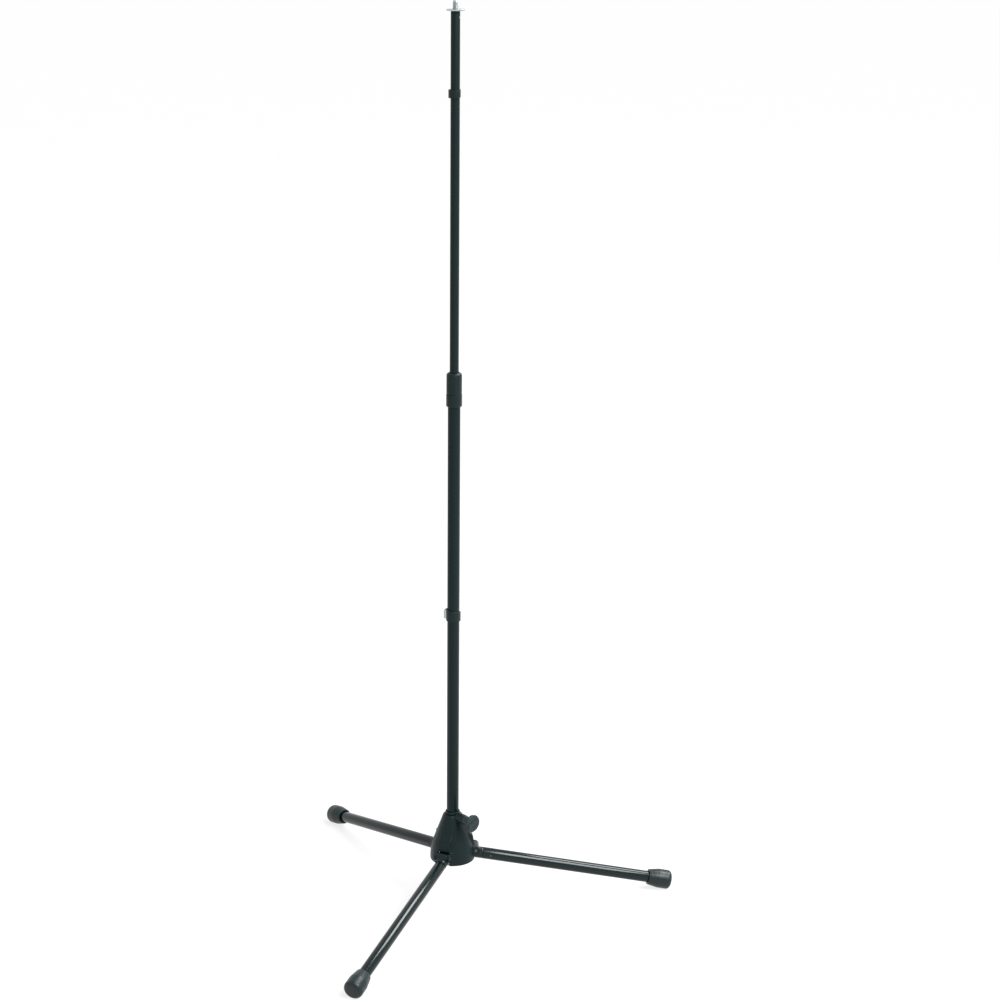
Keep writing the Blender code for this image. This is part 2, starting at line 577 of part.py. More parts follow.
def make_leg(number):
    azimuth = (number - 1) * LEG_STEP
    where = (PIVOT_RADIUS * math.cos(azimuth), PIVOT_RADIUS * math.sin(azimuth), PIVOT_HEIGHT)
    pivot = make_empty(f"leg_{number}_pivot", where, azimuth, STAND)
    way = Vector((SLOPE_COS, 0.0, -SLOPE_SIN))
    foot_of_drop = Vector((-SLOPE_SIN, 0.0, -SLOPE_COS)) * LEG_DROP
    line = along(way, foot_of_drop)
    upright = Matrix.Rotation(math.pi / 2.0, 4, "X")

    # Knuckle: boss round the pin, nose behind it, collar and spigot for the tube
    spigot_radius = LEG_TUBE_RADIUS - LEG_TUBE_WALL - GAP
    spigot_end = KNUCKLE_COLLAR_LENGTH + KNUCKLE_SPIGOT_LENGTH
    edge = GAP * 2.0
    collar_profile = [
        (0.0, spigot_end),
        (spigot_radius - edge, spigot_end),
        (spigot_radius, spigot_end - edge),
        (spigot_radius, KNUCKLE_COLLAR_LENGTH),
        (LEG_TUBE_RADIUS - edge, KNUCKLE_COLLAR_LENGTH),
        (LEG_TUBE_RADIUS, KNUCKLE_COLLAR_LENGTH - edge),
        (LEG_TUBE_RADIUS, -KNUCKLE_INNER_LENGTH),
        (0.0, -KNUCKLE_INNER_LENGTH),
    ]
    knuckle = turned(
        f"leg_knuckle_{number}", collar_profile, "black_cast", pivot, TUBE_SEGMENTS, line,
    )
    nose_disc = rod(
        f"knuckle_limit_{number}", NOSE_RADIUS * 4.0, -LEG_TUBE_RADIUS * 2.0, LEG_TUBE_RADIUS * 2.0,
        None, pivot, segments=72, place=ACROSS_LEG, cutter=True,
    )
    nose_hole = rod(
        f"knuckle_limit_bore_{number}", NOSE_RADIUS, -LEG_TUBE_RADIUS * 3.0,
        LEG_TUBE_RADIUS * 3.0, None, pivot, segments=72, place=ACROSS_LEG, cutter=True,
    )
    outer_half = box(
        f"knuckle_limit_half_{number}",
        (0.0, -LEG_TUBE_RADIUS * 3.0, -NOSE_RADIUS * 5.0),
        (NOSE_RADIUS * 5.0, LEG_TUBE_RADIUS * 3.0, NOSE_RADIUS * 5.0),
        pivot,
    )
    cut(nose_disc, nose_hole, outer_half)
    nose = plate(
        f"knuckle_nose_{number}", knuckle_outline(), NOSE_HALF_WIDTH, None, pivot, upright,
        cutter=True,
    )
    boss = rod(
        f"knuckle_boss_{number}", EAR_RADIUS - GAP, GAP - LEG_TUBE_RADIUS, LEG_TUBE_RADIUS - GAP,
        None, pivot, segments=TUBE_SEGMENTS, place=ACROSS_LEG, cutter=True,
    )
    pin_hole = rod(
        f"knuckle_pin_hole_{number}", PIVOT_PIN_RADIUS + GAP, -EAR_OUTER, EAR_OUTER,
        None, pivot, place=ACROSS_LEG, cutter=True,
    )
    rivet_at = KNUCKLE_COLLAR_LENGTH + KNUCKLE_SPIGOT_LENGTH / 2.0
    rivet_place = line @ Matrix.Translation((0.0, 0.0, rivet_at)) @ ACROSS_LEG
    rivet_hole = rod(
        f"leg_rivet_hole_{number}", RIVET_RADIUS + GAP, -LEG_TUBE_RADIUS * 2.0,
        LEG_TUBE_RADIUS * 2.0, None, pivot, place=rivet_place, cutter=True,
    )
    cut(knuckle, nose_disc)
    join(knuckle, nose, boss)
    cut(knuckle, pin_hole, rivet_hole)

    # Tube, from the collar to the end wall of the foot
    tube_start = KNUCKLE_COLLAR_LENGTH + GAP
    tube_end = LEG_END - FOOT_END_WALL - GAP
    leg_tube = tube(
        f"leg_tube_{number}", LEG_TUBE_RADIUS, LEG_TUBE_RADIUS - LEG_TUBE_WALL, tube_start,
        tube_end, "gloss_paint", pivot, place=line,
    )
    cut(leg_tube, rivet_hole)

    # Flush rivet
    rod(
        f"leg_rivet_{number}", RIVET_RADIUS, -LEG_TUBE_RADIUS, LEG_TUBE_RADIUS, "dark_steel", pivot,
        place=rivet_place,
    )

    # Pivot pin, flush with the ears, which stays with the hub
    seat = make_empty(f"leg_{number}_pin_seat", where, azimuth, STAND)
    rod(
        f"leg_pin_{number}", PIVOT_PIN_RADIUS, -EAR_OUTER, EAR_OUTER, "dark_steel", seat,
        place=ACROSS_LEG,
    )

    # Foot
    make_foot(number, pivot, line)


def make_foot(number, pivot, line):
    """A pear-shaped rubber cap, cut flat where it stands on the floor."""
    rim = LEG_END - FOOT_LENGTH
    full = rim + FOOT_FLARE_LENGTH
    bore = LEG_TUBE_RADIUS + GAP
    bore_end = LEG_END - FOOT_END_WALL
    end_centre = (FOOT_RADIUS - FOOT_END_ROUND, LEG_END - FOOT_END_ROUND)
    end_round = arc(end_centre, FOOT_END_ROUND, math.pi / 2.0, 0.0, 5)
    rim_centre = (FOOT_RIM_RADIUS - FOOT_RIM_ROUND, rim + FOOT_RIM_ROUND)
    rim_round = arc(rim_centre, FOOT_RIM_ROUND, 0.0, -math.pi / 2.0, 2)
    profile = [(0.0, LEG_END)] + end_round
    profile += [(FOOT_RADIUS, full)] + rim_round
    profile += [(bore, rim), (bore, bore_end), (0.0, bore_end)]
    foot = turned(f"leg_foot_{number}", profile, "black_rubber", pivot, FOOT_SEGMENTS, line)
    floor = box(
        f"foot_floor_{number}",
        (LEG_REACH / 2.0, -FOOT_RADIUS * 2.0, -PIVOT_HEIGHT - FOOT_LENGTH),
        (LEG_REACH * 1.5, FOOT_RADIUS * 2.0, -PIVOT_HEIGHT),
        pivot,
    )
    cut(foot, floor)


# Mast

def make_spreader_cone():
    spigot_radius = LOWER_TUBE_BORE - GAP
    spigot_top = LOWER_TUBE_BOTTOM + CONE_SPIGOT_LENGTH
    profile = [
        (spigot_radius, spigot_top),
        (spigot_radius, CONE_TOP),
        (CONE_TOP_RADIUS, CONE_TOP),
        (CONE_TOP_RADIUS, CONE_EDGE_HEIGHT),
        (CONE_BOTTOM_RADIUS, CONE_BOTTOM),
        (CONE_BORE_RADIUS, CONE_BOTTOM),
        (CONE_BORE_RADIUS, spigot_top),
    ]
    return turned("spreader_cone", profile, "black_plastic", STAND, TUBE_SEGMENTS)


def cross_pin(name, height, half_length, azimuth, material):
    """A flush pin across the mast, and the cutter for its hole."""
    way = (math.cos(azimuth), math.sin(azimuth), 0.0)
    place = along(way, (0.0, 0.0, height))
    rod(name, CROSS_PIN_RADIUS, -half_length, half_length, material, STAND, 12, place)
    return rod(
        name + "_hole", CROSS_PIN_RADIUS + GAP, -half_length * 2.0, half_length * 2.0, None, STAND,
        12, place, cutter=True,
    )


def make_mast():
    lower = tube(
        "lower_tube", LOWER_TUBE_RADIUS, LOWER_TUBE_BORE, LOWER_TUBE_BOTTOM, LOWER_TUBE_TOP,
        "black_paint", STAND,
    )
    cone = make_spreader_cone()
    cone_hole = cross_pin(
        "spreader_pin", LOWER_TUBE_BOTTOM + CONE_PIN_RISE, LOWER_TUBE_RADIUS, 0.0, "dark_steel",
    )
    cut(lower, cone_hole)
    cut(cone, cone_hole)

    upper = tube(
        "upper_tube", UPPER_TUBE_RADIUS, UPPER_TUBE_BORE, UPPER_TUBE_BOTTOM, UPPER_TUBE_TOP,
        "black_paint", STAND,
    )
    guide_radius = LOWER_TUBE_BORE - GAP
    guide_bore = UPPER_TUBE_RADIUS + GAP
    guide_top = LOWER_TUBE_TOP - GAP
    guide_floor = GUIDE_BOTTOM + GUIDE_CAP
    edge = GAP * 2.0
    guide_profile = [
        (guide_radius, guide_top),
        (guide_radius, GUIDE_BOTTOM + edge),
        (guide_radius - edge, GUIDE_BOTTOM),
        (0.0, GUIDE_BOTTOM),
        (0.0, guide_floor),
        (guide_bore, guide_floor),
        (guide_bore, guide_top),
    ]
    guide = turned("guide_plug", guide_profile, "black_plastic", STAND, TUBE_SEGMENTS)
    guide_hole = cross_pin(
        "guide_plug_pin", UPPER_TUBE_BOTTOM + GUIDE_PIN_RISE, guide_radius, 0.0, "dark_steel",
    )
    cut(guide, guide_hole)
    cut(upper, guide_hole)

    stud = make_thread_stud()
    stud_hole = cross_pin(
        "stud_pin", UPPER_TUBE_TOP - STUD_PIN_DROP, UPPER_TUBE_RADIUS, STUD_PIN_AZIMUTH, "zinc",
    )
    cut(upper, stud_hole)
    cut(stud, stud_hole)


def make_thread_stud():
    """A stud with ring-shaped thread crests above the disc, and a spigot in the tube."""
    root = STUD_RADIUS - STUD_THREAD_DEPTH
    chamfer = STUD_THREAD_DEPTH * 2.0
    tip = STAND_HEIGHT
    profile = [(0.0, tip), (STUD_RADIUS - chamfer, tip)]
    height = tip - chamfer
    while height - STUD_PITCH > DISC_TOP:
        profile.append((STUD_RADIUS, height))
        profile.append((root, height - STUD_PITCH / 2.0))
        height -= STUD_PITCH
    spigot_radius = UPPER_TUBE_BORE - GAP
    profile += [
        (STUD_RADIUS, height),
        (STUD_RADIUS, UPPER_TUBE_TOP),
        (spigot_radius, UPPER_TUBE_TOP),
        (spigot_radius, UPPER_TUBE_TOP - STUD_SPIGOT_LENGTH),
        (0.0, UPPER_TUBE_TOP - STUD_SPIGOT_LENGTH),
    ]
    return turned("thread_stud", profile, "zinc", STAND, 24)


def make_lock_disc():
    """A thin disc with a knurled rim and a plain bore for the stud."""
    outline = []
    for i in range(DISC_KNURLS):
        for part, radius in ((0.0, DISC_RADIUS), (0.5, DISC_RADIUS - DISC_KNURL_DEPTH)):
            angle = 2.0 * math.pi * (i + part) / DISC_KNURLS
            outline.append((radius * math.cos(angle), radius * math.sin(angle)))
    middle = DISC_TOP - DISC_THICKNESS / 2.0
    disc = plate(
        "lock_disc", outline, DISC_THICKNESS / 2.0, "zinc", STAND,
        Matrix.Translation((0.0, 0.0, middle)),
    )
    hole = rod(
        "lock_disc_hole", STUD_RADIUS + GAP, DISC_TOP - DISC_THICKNESS * 2.0,
        DISC_TOP + DISC_THICKNESS, None, STAND, 24, cutter=True,
    )
    cut(disc, hole)


# Height clutch

def make_clutch():
    housing_bore = LOWER_TUBE_RADIUS + GAP
    ledge = LOWER_TUBE_TOP + GAP
    edge = GAP * 4.0
    seat_bottom = CLUTCH_THREAD_TOP - TAPER_DEPTH
    seat_radius = COLLET_RADIUS + GAP
    tip_seat_radius = COLLET_TIP_RADIUS + GAP
    housing_profile = [
        (CLUTCH_THREAD_RADIUS - edge / 2.0, CLUTCH_THREAD_TOP),
        (CLUTCH_THREAD_RADIUS, CLUTCH_THREAD_TOP - edge / 2.0),
        (CLUTCH_THREAD_RADIUS, CLUTCH_SPLIT),
        (CLUTCH_HOUSING_RADIUS, CLUTCH_SPLIT),
        (CLUTCH_HOUSING_RADIUS, CLUTCH_BOTTOM + edge),
        (CLUTCH_HOUSING_RADIUS - edge, CLUTCH_BOTTOM),
        (housing_bore, CLUTCH_BOTTOM),
        (housing_bore, ledge),
        (CLUTCH_BORE, ledge),
        (CLUTCH_BORE, COLLET_BOTTOM - GAP),
        (tip_seat_radius, COLLET_BOTTOM - GAP),
        (tip_seat_radius, seat_bottom),
        (seat_radius, CLUTCH_THREAD_TOP),
    ]
    turned("clutch_housing", housing_profile, "black_plastic", STAND, TUBE_SEGMENTS)

    grip_bore = CLUTCH_THREAD_RADIUS + GAP
    lip_bottom = CLUTCH_TOP - CLUTCH_LIP_THICKNESS
    grip_profile = [
        (CLUTCH_BORE + CLUTCH_MOUTH_WALL, CLUTCH_TOP),
        (CLUTCH_GRIP_RADIUS - edge / 2.0, CLUTCH_TOP - CLUTCH_BEVEL_HEIGHT / 2.0),
        (CLUTCH_GRIP_RADIUS, CLUTCH_TOP - CLUTCH_BEVEL_HEIGHT),
        (CLUTCH_GRIP_RADIUS, CLUTCH_SPLIT + GAP),
        (grip_bore, CLUTCH_SPLIT + GAP),
        (grip_bore, lip_bottom),
        (CLUTCH_BORE, lip_bottom),
        (CLUTCH_BORE, CLUTCH_TOP),
    ]
    turned("clutch_grip", grip_profile, "black_plastic", STAND, TUBE_SEGMENTS)

    collet_top = lip_bottom - GAP
    collet_profile = [
        (COLLET_RADIUS, collet_top),
        (COLLET_RADIUS, CLUTCH_THREAD_TOP),
        (COLLET_TIP_RADIUS, seat_bottom),
        (COLLET_TIP_RADIUS, COLLET_BOTTOM),
        (CLUTCH_BORE, COLLET_BOTTOM),
        (CLUTCH_BORE, collet_top),
    ]
    collet = turned("clutch_collet", collet_profile, "black_plastic", STAND, TUBE_SEGMENTS)
    slot_top = (collet_top + CLUTCH_THREAD_TOP) / 2.0
    for i in range(COLLET_SLOTS):
        turn = Matrix.Rotation(2.0 * math.pi * (i + 0.5) / COLLET_SLOTS, 4, "Z")
        slot = box(
            f"collet_slot_{i + 1}",
            (UPPER_TUBE_RADIUS / 2.0, -COLLET_SLOT_WIDTH / 2.0, COLLET_BOTTOM - CLUTCH_LIP_THICKNESS),
            (COLLET_RADIUS * 1.5, COLLET_SLOT_WIDTH / 2.0, slot_top),
            STAND,
            turn,
        )
        cut(collet, slot)


# Clamp

def make_clamp():
    way = Vector((math.cos(CLAMP_AZIMUTH), math.sin(CLAMP_AZIMUTH), 0.0))
    axis = make_empty("clamp_axis", (0.0, 0.0, CLAMP_HEIGHT), parent=STAND)
    place = along(way)
    pad_start = LOWER_TUBE_RADIUS + GAP
    pad_end = pad_start + CLAMP_PAD_LENGTH
    rod("clamp_pad", CLAMP_SCREW_RADIUS, pad_start, pad_end, "black_plastic", axis, place=place)

    stem_start = CLAMP_BOSS_END + GAP
    flare_start = stem_start + KNOB_STEM_LENGTH
    disc_start = flare_start + KNOB_FLARE_LENGTH
    disc_end = disc_start + KNOB_DISC_LENGTH
    bore_end = stem_start + KNOB_BORE_DEPTH
    rod(
        "clamp_screw", CLAMP_SCREW_RADIUS, pad_end + GAP, bore_end - GAP, "zinc", axis, place=place,
    )
    bore = CLAMP_SCREW_RADIUS + GAP
    profile = [
        (0.0, disc_end),
        (KNOB_DISC_RADIUS - KNOB_EDGE * 2.0, disc_end),
        (KNOB_DISC_RADIUS, disc_end - KNOB_EDGE),
        (KNOB_DISC_RADIUS, disc_start),
        (KNOB_STEM_RADIUS + KNOB_EDGE * 2.0, flare_start + KNOB_EDGE),
        (KNOB_STEM_RADIUS, flare_start - KNOB_EDGE),
        (KNOB_STEM_RADIUS, stem_start),
        (bore, stem_start),
        (bore, bore_end),
        (0.0, bore_end),
    ]
    knob = turned("clamp_knob", profile, "black_plastic", axis, 40, place)
    bar_middle = disc_end + KNOB_BAR_HEIGHT / 2.0 - KNOB_EDGE / 2.0
    bar_place = place @ Matrix.Rotation(KNOB_BAR_TURN, 4, "Z") @ Matrix.Translation((0.0, 0.0, bar_middle))
    bar = plate(
        "knob_bar", stadium(KNOB_BAR_LENGTH, KNOB_BAR_WIDTH), (KNOB_BAR_HEIGHT + KNOB_EDGE) / 2.0,
        None, axis, bar_place, cutter=True,
    )
    flute_centre = KNOB_DISC_RADIUS + KNOB_FLUTE_RADIUS - KNOB_FLUTE_DEPTH
    for i in range(KNOB_FLUTES):
        angle = 2.0 * math.pi * i / KNOB_FLUTES
        offset = (flute_centre * math.cos(angle), flute_centre * math.sin(angle), 0.0)
        flute = rod(
            f"knob_flute_{i + 1}", KNOB_FLUTE_RADIUS, flare_start, disc_end + KNOB_EDGE, None,
            axis, 12, place @ Matrix.Translation(offset), cutter=True,
        )
        cut(knob, flute)
    join(knob, bar)


# Cable clips

def band_outline(bore, outer, opening, towards):
    """A C-shaped band whose opening is centred on an angle, with round ends."""
    start = towards + opening / 2.0
    end = towards + 2.0 * math.pi - opening / 2.0
    middle = (bore + outer) / 2.0
    tip = (outer - bore) / 2.0
    outline = arc((0.0, 0.0), outer, start, end, CLIP_SEGMENTS)
    end_tip = (middle * math.cos(end), middle * math.sin(end))
    outline += arc(end_tip, tip, end, end + math.pi, 6)[1:-1]
    outline += arc((0.0, 0.0), bore, end, start, CLIP_SEGMENTS)
    start_tip = (middle * math.cos(start), middle * math.sin(start))
    outline += arc(start_tip, tip, start - math.pi, start, 6)[1:-1]
    return outline


def make_clip(name, height, length, tube_radius, wall, opening, hook_azimuth, slant):
    """A snap-on ring round a mast tube, with a sprung cable hook riveted to it."""
    bore = tube_radius + GAP
    outer = bore + wall
    opening_way = hook_azimuth + math.pi
    shear = Matrix.Identity(4)
    shear[2][0] = -math.tan(slant)
    place = Matrix.Translation((0.0, 0.0, height))
    ring = plate(
        name, band_outline(bore, outer, opening, opening_way), length / 2.0,
        "black_plastic", STAND, place,
    )
    ring.data.transform(shear)

    centre_radius = outer + GAP + HOOK_BORE_RADIUS + HOOK_WALL
    centre = (centre_radius * math.cos(hook_azimuth), centre_radius * math.sin(hook_azimuth))
    lift = -math.tan(slant) * centre[0]
    hook_outline = band_outline(
        HOOK_BORE_RADIUS, HOOK_BORE_RADIUS + HOOK_WALL, HOOK_MOUTH, hook_azimuth - math.pi / 4.0,
    )
    hook = plate(
        name + "_hook", hook_outline, HOOK_LENGTH / 2.0, "zinc", STAND,
        Matrix.Translation((centre[0], centre[1], height + lift)),
    )
    way = (math.cos(hook_azimuth), math.sin(hook_azimuth), 0.0)
    rivet_lift = -math.tan(slant) * outer * math.cos(hook_azimuth)
    rivet_place = along(way, (0.0, 0.0, height + rivet_lift))
    inner_end = bore + GAP
    outer_end = outer + GAP + HOOK_WALL
    rod(
        name + "_rivet", CLIP_RIVET_RADIUS, inner_end, outer_end, "dark_steel", STAND, 12,
        rivet_place,
    )
    hole = rod(
        name + "_rivet_hole", CLIP_RIVET_RADIUS + GAP, tube_radius / 2.0,
        centre_radius, None, STAND, 12, rivet_place, cutter=True,
    )
    cut(ring, hole)
    cut(hook, hole)


make_hub()
make_neck_bush()
for leg_number in range(1, LEG_COUNT + 1):
    make_leg(leg_number)
make_mast()
make_lock_disc()
make_clutch()
make_clamp()
make_clip(
    "upper_clip", STAND_HEIGHT - UPPER_CLIP_DROP, UPPER_CLIP_LENGTH, UPPER_TUBE_RADIUS, UPPER_CLIP_WALL,
    UPPER_CLIP_OPENING, UPPER_HOOK_AZIMUTH, 0.0,
)
make_clip(
    "lower_clip", LOWER_CLIP_HEIGHT, LOWER_CLIP_LENGTH, LOWER_TUBE_RADIUS, LOWER_CLIP_WALL,
    LOWER_CLIP_OPENING, LOWER_HOOK_AZIMUTH, LOWER_CLIP_SLANT,
)
bpy.context.view_layer.update()
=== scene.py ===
"""Straight microphone stand on three folding legs, modelled and lit for a picture.

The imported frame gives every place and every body. The pieces here are modelled round
it with mesh operators, each takes a procedural finish, and each rides on a body.
"""

import json
import math

import bpy
from bpy.props import FloatProperty, FloatVectorProperty, IntProperty, PointerProperty
from bpy.types import Operator, Panel, PropertyGroup
from mathutils import Matrix, Vector


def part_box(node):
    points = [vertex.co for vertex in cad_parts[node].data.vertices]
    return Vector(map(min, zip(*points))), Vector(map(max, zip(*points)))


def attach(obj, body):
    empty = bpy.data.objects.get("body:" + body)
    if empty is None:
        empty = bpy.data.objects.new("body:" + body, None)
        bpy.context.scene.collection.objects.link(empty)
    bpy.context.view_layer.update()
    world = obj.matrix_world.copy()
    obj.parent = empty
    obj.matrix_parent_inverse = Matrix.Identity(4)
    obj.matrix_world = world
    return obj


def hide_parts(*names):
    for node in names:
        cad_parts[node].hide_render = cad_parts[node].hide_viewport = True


bl_info = {
    "name": "Microphone stand",
    "version": (1, 0, 0),
    "blender": (4, 5, 0),
    "location": "View3D > Sidebar > Stand",
    "description": "Models the pieces of a microphone stand round its packed frame",
    "category": "Add Mesh",
}

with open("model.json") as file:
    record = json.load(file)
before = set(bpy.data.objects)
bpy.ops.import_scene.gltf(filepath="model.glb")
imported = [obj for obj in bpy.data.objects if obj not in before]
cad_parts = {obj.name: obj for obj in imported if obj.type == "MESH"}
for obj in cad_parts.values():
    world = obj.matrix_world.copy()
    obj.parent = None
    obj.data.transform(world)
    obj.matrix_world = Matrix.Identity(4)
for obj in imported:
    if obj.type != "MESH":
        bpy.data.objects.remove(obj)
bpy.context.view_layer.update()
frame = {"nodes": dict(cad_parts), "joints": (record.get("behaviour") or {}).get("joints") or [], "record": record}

MM = 0.001
FULL_TURN = 2.0 * math.pi
MERGE_DISTANCE = 0.005 * MM
GAP = 0.3 * MM
# Shares of the edge round that inner edges and hidden seams take
INNER_EDGE = 0.6
SEAM_EDGE = 0.4
# Steps of an eased corner: a few, and one more for each length of its round
EASE_STEPS = 4
EASE_LENGTH = 2.0 * MM


def heights(node):
    """The lowest and the highest place of a CAD node."""
    low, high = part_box(node)
    return low.z, high.z


JOINTS = {joint["name"]: joint for joint in frame["joints"]}

# Mast
MAST_X = (sum(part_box("lower_tube"), Vector()) / 2.0).x
LOWER_TUBE_RADIUS = 10.75 * MM
LOWER_TUBE_BORE = 9.75 * MM
UPPER_TUBE_RADIUS = 7.75 * MM
UPPER_TUBE_BORE = 6.75 * MM
LOWER_TUBE_BOTTOM, LOWER_TUBE_TOP = heights("lower_tube")
UPPER_TUBE_TOP = heights("upper_tube")[1]

# Hub
HUB_BOTTOM = heights("hub")[0]
PIVOT_HEIGHT = 98.0 * MM
PIVOT_RADIUS = 41.0 * MM
HUB_TOP = 169.0 * MM
HUB_SKIRT_RADIUS = 40.6 * MM
HUB_NECK_RADIUS = 15.0 * MM
HUB_NECK_BORE = 12.35 * MM
HUB_LIP_HEIGHT = 2.6 * MM
HUB_SHOULDER_RADIUS = 17.6 * MM
HUB_CONE_ANGLE = math.radians(20.1)
HUB_BELL_ROUND = 100.0 * MM
HUB_NECK_ROUND = 0.8 * MM
HUB_SKIRT_ROUND = 1.5 * MM
HUB_WALL = 4.0 * MM
HUB_CAVITY_TOP = 142.0 * MM
HUB_CAVITY_ROUNDS = (2.0 * MM, 8.0 * MM)
HUB_SOFTENING = (4, 0.5)
PAD_TOP = 127.0 * MM
PAD_TOP_ROUND = 6.0 * MM
PAD_TOP_RADIUS = 36.2 * MM
PAD_FADE = 12.0 * MM
PAD_HALF_WIDTH = 11.6 * MM
PAD_ROOT_RADIUS = 24.0 * MM
EAR_RADIUS = 8.5 * MM
EAR_ROOT_RADIUS = 30.0 * MM
EAR_OUTER = 15.4 * MM
SLOT_HALF_WIDTH = 10.9 * MM
SLOT_TOP_GAP = 0.8 * MM
PIN_RADIUS = 3.0 * MM
PIN_STEPS = 96
BORE_STEPS = 32
BUSH_RADIUS = 12.05 * MM
BUSH_BORE = 11.05 * MM
BUSH_FLANGE_RADIUS = 13.0 * MM
BUSH_TOP = heights("neck_bush")[1]
BUSH_EDGE = 1.4

# Legs
LEG_REACH = 405.2 * MM
LEG_AXIS_DROP = 8.06 * MM
FOOT_AXIS_HEIGHT = 14.8 * MM
LEG_TUBE_RADIUS = 10.5 * MM
LEG_TUBE_BORE = 9.0 * MM
COLLAR_LENGTH = 15.0 * MM
COLLAR_INNER_LENGTH = 14.0 * MM
SPIGOT_LENGTH = 30.0 * MM
COLLAR_START = 3.0 * MM
COLLAR_SEAM = 0.15 * MM
NOSE_RADIUS = 20.0 * MM
NOSE_HALF_WIDTH = 9.5 * MM
NOSE_TOP = math.radians(136.0)
NOSE_BOTTOM = math.radians(246.0)
NOSE_SHOULDER = 1.4 * MM
KNUCKLE_GRID_SHARE = 0.7
KNUCKLE_SOFTENING = (1, 0.4)
RIVET_RADIUS = 2.0 * MM
LEG_SLOPE = math.atan2(
    PIVOT_HEIGHT - LEG_AXIS_DROP - FOOT_AXIS_HEIGHT, LEG_REACH - PIVOT_RADIUS
)
LEG_DROP = LEG_AXIS_DROP * math.cos(LEG_SLOPE)
LEG_END = (LEG_REACH - PIVOT_RADIUS + LEG_DROP * math.sin(LEG_SLOPE)) / math.cos(LEG_SLOPE)

# Feet
FOOT_LENGTH = 43.7 * MM
FOOT_RADIUS = 17.4 * MM
FOOT_RIM_RADIUS = 13.9 * MM
FOOT_RIM_EDGE = 2.0
FOOT_END_WALL = 7.0 * MM
FOOT_END_ROUND = 7.0 * MM
FOOT_FLARE = 20.0 * MM
FOOT_FLARE_ROUND = 14.0 * MM
FOOT_TIP_EASE = 0.3 * MM

# Spreader cone
CONE_TOP_RADIUS = 24.4 * MM
CONE_TOP = LOWER_TUBE_BOTTOM - GAP
CONE_RIM = 2.0 * MM
CONE_BOTTOM = heights("spreader_cone")[0]
CONE_BOTTOM_RADIUS = 12.0 * MM
CONE_BORE = 5.0 * MM
CONE_SPIGOT = 26.0 * MM

# Clamp
CLAMP_AXIS = Vector(JOINTS["clamp_travel"]["axis"]).normalized()
CLAMP_HEIGHT = JOINTS["clamp_turn"]["pos_m"][2]
BOSS_RADIUS = 8.8 * MM
BOSS_END = 34.0 * MM
SCREW_RADIUS = 4.0 * MM
KNOB_START = BOSS_END + GAP
KNOB_STEM_RADIUS = 8.6 * MM
KNOB_STEM_LENGTH = 13.0 * MM
KNOB_FLARE = 4.2 * MM
KNOB_DISC_RADIUS = 16.4 * MM
KNOB_DISC_LENGTH = 4.6 * MM
KNOB_FACE_ROUND = 2.2 * MM
KNOB_RIM_ROUND = 0.8 * MM
KNOB_FLARE_ROUND = 2.6 * MM
KNOB_FOOT_ROUND = 0.6 * MM
KNOB_FLUTE_RADIUS = 3.4 * MM
KNOB_FLUTE_OVERRUN = 1.2 * MM
KNOB_BORE_DEPTH = 17.0 * MM
KNOB_BAR_LENGTH = 25.0 * MM
KNOB_BAR_WIDTH = 5.2 * MM
KNOB_BAR_RISE = 3.2 * MM
KNOB_BAR_SINK = 0.6 * MM
KNOB_BAR_TURN = math.radians(18.0)
KNOB_SOFTENING = (3, 0.5)

# Height clutch
CLUTCH_BOTTOM = heights("clutch_housing")[0]
CLUTCH_SPLIT = CLUTCH_BOTTOM + 21.0 * MM
CLUTCH_THREAD_TOP = CLUTCH_SPLIT + 20.0 * MM
CLUTCH_TOP = heights("clutch_grip")[1]
HOUSING_RADIUS = 13.7 * MM
HOUSING_BORE = 11.05 * MM
HOUSING_EDGE = 2.4
GRIP_RADIUS = 13.3 * MM
GRIP_BORE = 12.2 * MM
GRIP_LIP = 5.0 * MM
GRIP_BEVEL = 4.5 * MM
GRIP_BEVEL_STEP = 0.6 * MM
GRIP_STEPS = 180
GROOVE_RADIUS = 2.2 * MM
GROOVE_START = 5.0 * MM
GROOVE_END_SHARE = 0.6
GROOVE_TURN = math.radians(11.0)
GRIP_MOUTH = 9.8 * MM
CLUTCH_THREAD_RADIUS = 11.9 * MM
CLUTCH_BORE = 8.05 * MM
COLLET_BOTTOM = heights("clutch_collet")[0]
COLLET_SEAT = 10.6 * MM
COLLET_TIP_SEAT = 9.2 * MM
COLLET_TAPER = 7.0 * MM

# Stud and lock disc
DISC_TOP = heights("lock_disc")[1]
DISC_THICKNESS = 2.5 * MM
DISC_RADIUS = 15.0 * MM
DISC_CHAMFER_IN = 0.7 * MM
DISC_CHAMFER_DOWN = 0.5 * MM
DISC_BORE_ROUND = 0.3 * MM
KNURL_BAND = 0.1 * MM
STEPS_IN_KNURL = 4
STUD_TOP = heights("thread_stud")[1]
STUD_RADIUS = 4.76 * MM
STUD_TIP_RADIUS = 2.8 * MM
STUD_TIP_ROUND = 0.6 * MM
STUD_TAPER = 4.5 * MM
THREAD_CREST_SHARE = 0.08
STUD_SPIGOT_RADIUS = 6.45 * MM
STUD_SPIGOT_LENGTH = 26.0 * MM

# Cable clips
HOOK_BORE = 3.6 * MM
HOOK_WALL = 1.2 * MM
HOOK_LENGTH = 16.0 * MM
HOOK_MOUTH = math.radians(70.0)
HOOK_MOUTH_TURN = math.radians(45.0)
CLIPS = {
    "upper": {
        "height": 1454.4 * MM, "length": 13.6 * MM, "bore": 8.05 * MM, "radius": 11.3 * MM,
        "opening": 84.0, "hook": 84.3, "slant": 0.0,
    },
    "lower": {
        "height": 549.4 * MM, "length": 17.0 * MM, "bore": 11.05 * MM, "radius": 12.9 * MM,
        "opening": 88.0, "hook": 128.6, "slant": 10.0,
    },
}

